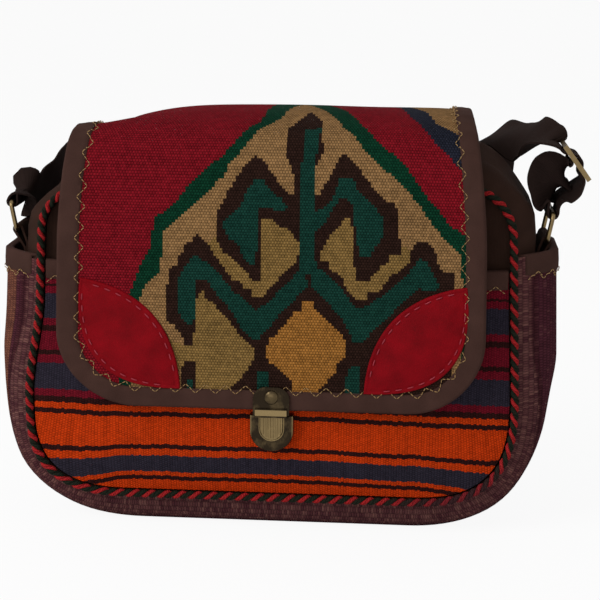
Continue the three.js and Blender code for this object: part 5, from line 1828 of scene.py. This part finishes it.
class BAG_OT_strap(bpy.types.Operator):
    """Make the shoulder strap, its rings and the tabs that hold them."""
    bl_idname = "bag.strap"
    bl_label = "Strap"

    def execute(self, context):
        sizes = context.scene.bag_sizes
        path, width, run, (first, last) = strap_lines()

        def lot(start, end):
            return strap_cloth(path[start:end], width[start:end], run[start:end], sizes)

        left = to_object("strap_loop_left", lot(0, first + 1), finish("strap"))
        main = piece("strap_run", lot(first, last + 1), finish("strap"), ["strap"])
        right = to_object("strap_loop_right", lot(last, len(path)), finish("strap"))
        for loop, side, sign in ((left, "left", -1), (right, "right", 1)):
            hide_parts("strap")
            high = RING_HIGH * (sign, 1, 1) * MM
            low = (high[0], 0.0, high[2] + LOOP_BEND_LOW * MM)
            top = (high[0], 0.0, high[2] + LOOP_BEND_HIGH * MM)
            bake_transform(loop)
        line = path[first:last + 1] * MM
        ring, tab = strap_ring(), strap_tab()
        for side, turn in SIDES:
            piece(
                f"ring_{side}_wire", turn(ring), finish("brass"), [f"strap_ring_{side}"],
                f"ring_{side}")
            piece(f"tab_{side}_canvas", turn(tab), finish("canvas"), [f"strap_tab_{side}"])
        return {"FINISHED"}


class BAG_OT_zip(bpy.types.Operator):
    """Make the zip's tapes and teeth under the flap."""
    bl_idname = "bag.zip"
    bl_label = "Zip"

    def execute(self, context):
        edge = (TEETH_WIDTH / 2 + CLEARANCE) / HALF_DEPTH
        for name, first, last in (("zip_tape_front", -1, -edge), ("zip_tape_back", edge, 1)):
            tape = settled(zip_tape(np.linspace(first, last, 24)))
            piece(f"{name}_cloth", tape, finish("tape"), [name])
        piece("zip_teeth_rows", settled(zip_teeth()), finish("dark_brass"), ["zip_teeth"])
        return {"FINISHED"}


class BAG_OT_metal(bpy.types.Operator):
    """Give the lock, the sliders and the screw their metal and round their edges."""
    bl_idname = "bag.metal"
    bl_label = "Metal fittings"

    def execute(self, context):
        metals = {
            "lock_body": ("lock_brass", 0.35), "lock_button": ("bright_brass", 0.18),
            "lock_back_plate": ("steel", 0.2), "lock_tongue": ("tongue_brass", 0.35),
            "tongue_screw": ("dark_brass", 0.15), "tongue_washer": ("steel", 0.15),
            "zip_slider": ("dark_brass", 0.3), "zip_pull": ("dark_brass", 0.3),
            "strap_slider": ("brass", 0.6),
        }
        for name, (metal, edge) in metals.items():
            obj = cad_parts[name]
            obj.data.materials.clear()
            obj.data.materials.append(finish(metal))
            bevel = obj.modifiers.new("rounded edges", "BEVEL")
            bevel.width = edge * MM
            bevel.segments = 2
            bevel.limit_method = "ANGLE"
            bevel.angle_limit = math.radians(35)
        # The well's rim in bright brass: a painted highlight along the edge of the well.
        piece("lock_well_rim", well_rim(), finish("bright_brass"))
        spring = piece("lock_spring_leaf", spring_leaf(), finish("steel"), ["lock_spring"])
        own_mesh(spring)
        return {"FINISHED"}


class BAG_OT_stage(bpy.types.Operator):
    """Set the floor, the light and the camera."""
    bl_idname = "bag.stage"
    bl_label = "Stage"

    def execute(self, context):
        stage = context.scene.bag_stage
        self.floor()
        self.world(context, stage)
        self.lamp("key", *KEY_LAMP, stage.key_power)
        self.lamp("fill", *FILL_LAMP, stage.fill_power)
        self.camera(context, stage)
        context.scene.view_settings.view_transform = "Standard"
        return {"FINISHED"}

    def floor(self):
        corners = [(x * FLOOR_REACH, y * FLOOR_REACH, -FLOOR_DROP) for x, y in SQUARE]
        mesh = bpy.data.meshes.new("floor")
        mesh.from_pydata(corners, [], [(0, 1, 2, 3)])
        mesh.materials.append(finish_named("floor_white", self.floor_finish))
        obj = bpy.data.objects.new("floor", mesh)
        bpy.context.scene.collection.objects.link(obj)

    @staticmethod
    def floor_finish(nodes, colours):
        paint = nodes.add("ShaderNodeBsdfDiffuse", {}, {"Color": FLOOR_PAINT})
        glow = nodes.add("ShaderNodeEmission", {}, {"Color": WHITE, "Strength": 1.0})
        both = nodes.add("ShaderNodeMixShader", {}, {0: nodes.seen() * FLOOR_GLOW, 1: paint, 2: glow})
        nodes.add("ShaderNodeOutputMaterial", {}, {"Surface": both})

    @staticmethod
    def world(context, stage):
        world = bpy.data.worlds.new("studio")
        context.scene.world = world
        nodes = Nodes(world)
        seen = nodes.seen()
        strength = seen + (1.0 - seen) * stage.ambient
        light = nodes.add("ShaderNodeBackground", {}, {"Color": WHITE, "Strength": strength})
        nodes.add("ShaderNodeOutputWorld", {}, {"Surface": light})

    @staticmethod
    def lamp(name, place, size, power):
        light = bpy.data.lights.new(name, "AREA")
        light.shape = "DISK"
        light.size = size
        light.energy = power
        obj = bpy.data.objects.new(name, light)
        obj.location = place
        toward = Vector(LAMP_TARGET) - Vector(place)
        obj.rotation_euler = toward.to_track_quat("-Z", "Y").to_euler()
        bpy.context.scene.collection.objects.link(obj)

    @staticmethod
    def camera(context, stage):
        target = Vector(VIEW_TARGET) * MM
        turn, rise, roll = stage.azimuth, stage.elevation, stage.roll
        level = math.cos(rise)
        back = Vector((math.sin(turn) * level, -math.cos(turn) * level, math.sin(rise)))
        right = Vector((math.cos(turn), math.sin(turn), 0.0))
        up = back.cross(right)
        rolled_right = right * math.cos(roll) + up * math.sin(roll)
        rolled_up = up * math.cos(roll) - right * math.sin(roll)
        camera = bpy.data.cameras.new("camera")
        camera.sensor_width = SENSOR_WIDTH
        camera.lens = camera.sensor_width * stage.distance / stage.view_width
        obj = bpy.data.objects.new("camera", camera)
        place = target + back * stage.distance
        turned = Matrix((rolled_right, rolled_up, back)).transposed().to_4x4()
        obj.matrix_world = Matrix.Translation(place) @ turned
        context.scene.collection.objects.link(obj)
        context.scene.camera = obj


class BAG_PT_panel(bpy.types.Panel):
    """Lists the steps that dress the bag."""
    bl_idname = "BAG_PT_panel"
    bl_label = "Kilim bag"
    bl_space_type = "VIEW_3D"
    bl_region_type = "UI"
    bl_category = "Bag"

    def draw(self, context):
        for operator in OPERATORS:
            self.layout.operator(operator.bl_idname)
        for group in ("bag_sizes", "bag_colours", "bag_stage"):
            box = self.layout.box()
            settings = getattr(context.scene, group)
            for name in settings.bl_rna.properties.keys():
                if name not in ("rna_type", "name"):
                    box.prop(settings, name)


OPERATORS = (
    BAG_OT_stage, BAG_OT_strap, BAG_OT_body, BAG_OT_piping, BAG_OT_pockets, BAG_OT_flap,
    BAG_OT_leaves, BAG_OT_zip, BAG_OT_metal,
)
GROUPS = {"bag_sizes": BagSizes, "bag_colours": BagColours, "bag_stage": BagStage}


def register():
    for cls in (*GROUPS.values(), *OPERATORS, BAG_PT_panel):
        bpy.utils.register_class(cls)
    for name, group in GROUPS.items():
        setattr(bpy.types.Scene, name, bpy.props.PointerProperty(type=group))


def unregister():
    for name in GROUPS:
        delattr(bpy.types.Scene, name)
    for cls in reversed((*GROUPS.values(), *OPERATORS, BAG_PT_panel)):
        bpy.utils.unregister_class(cls)


def main():
    register()
    for operator in OPERATORS:
        group, name = operator.bl_idname.split(".")
        getattr(getattr(bpy.ops, group), name)()
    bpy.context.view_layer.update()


if __name__ == "__main__":
    main()
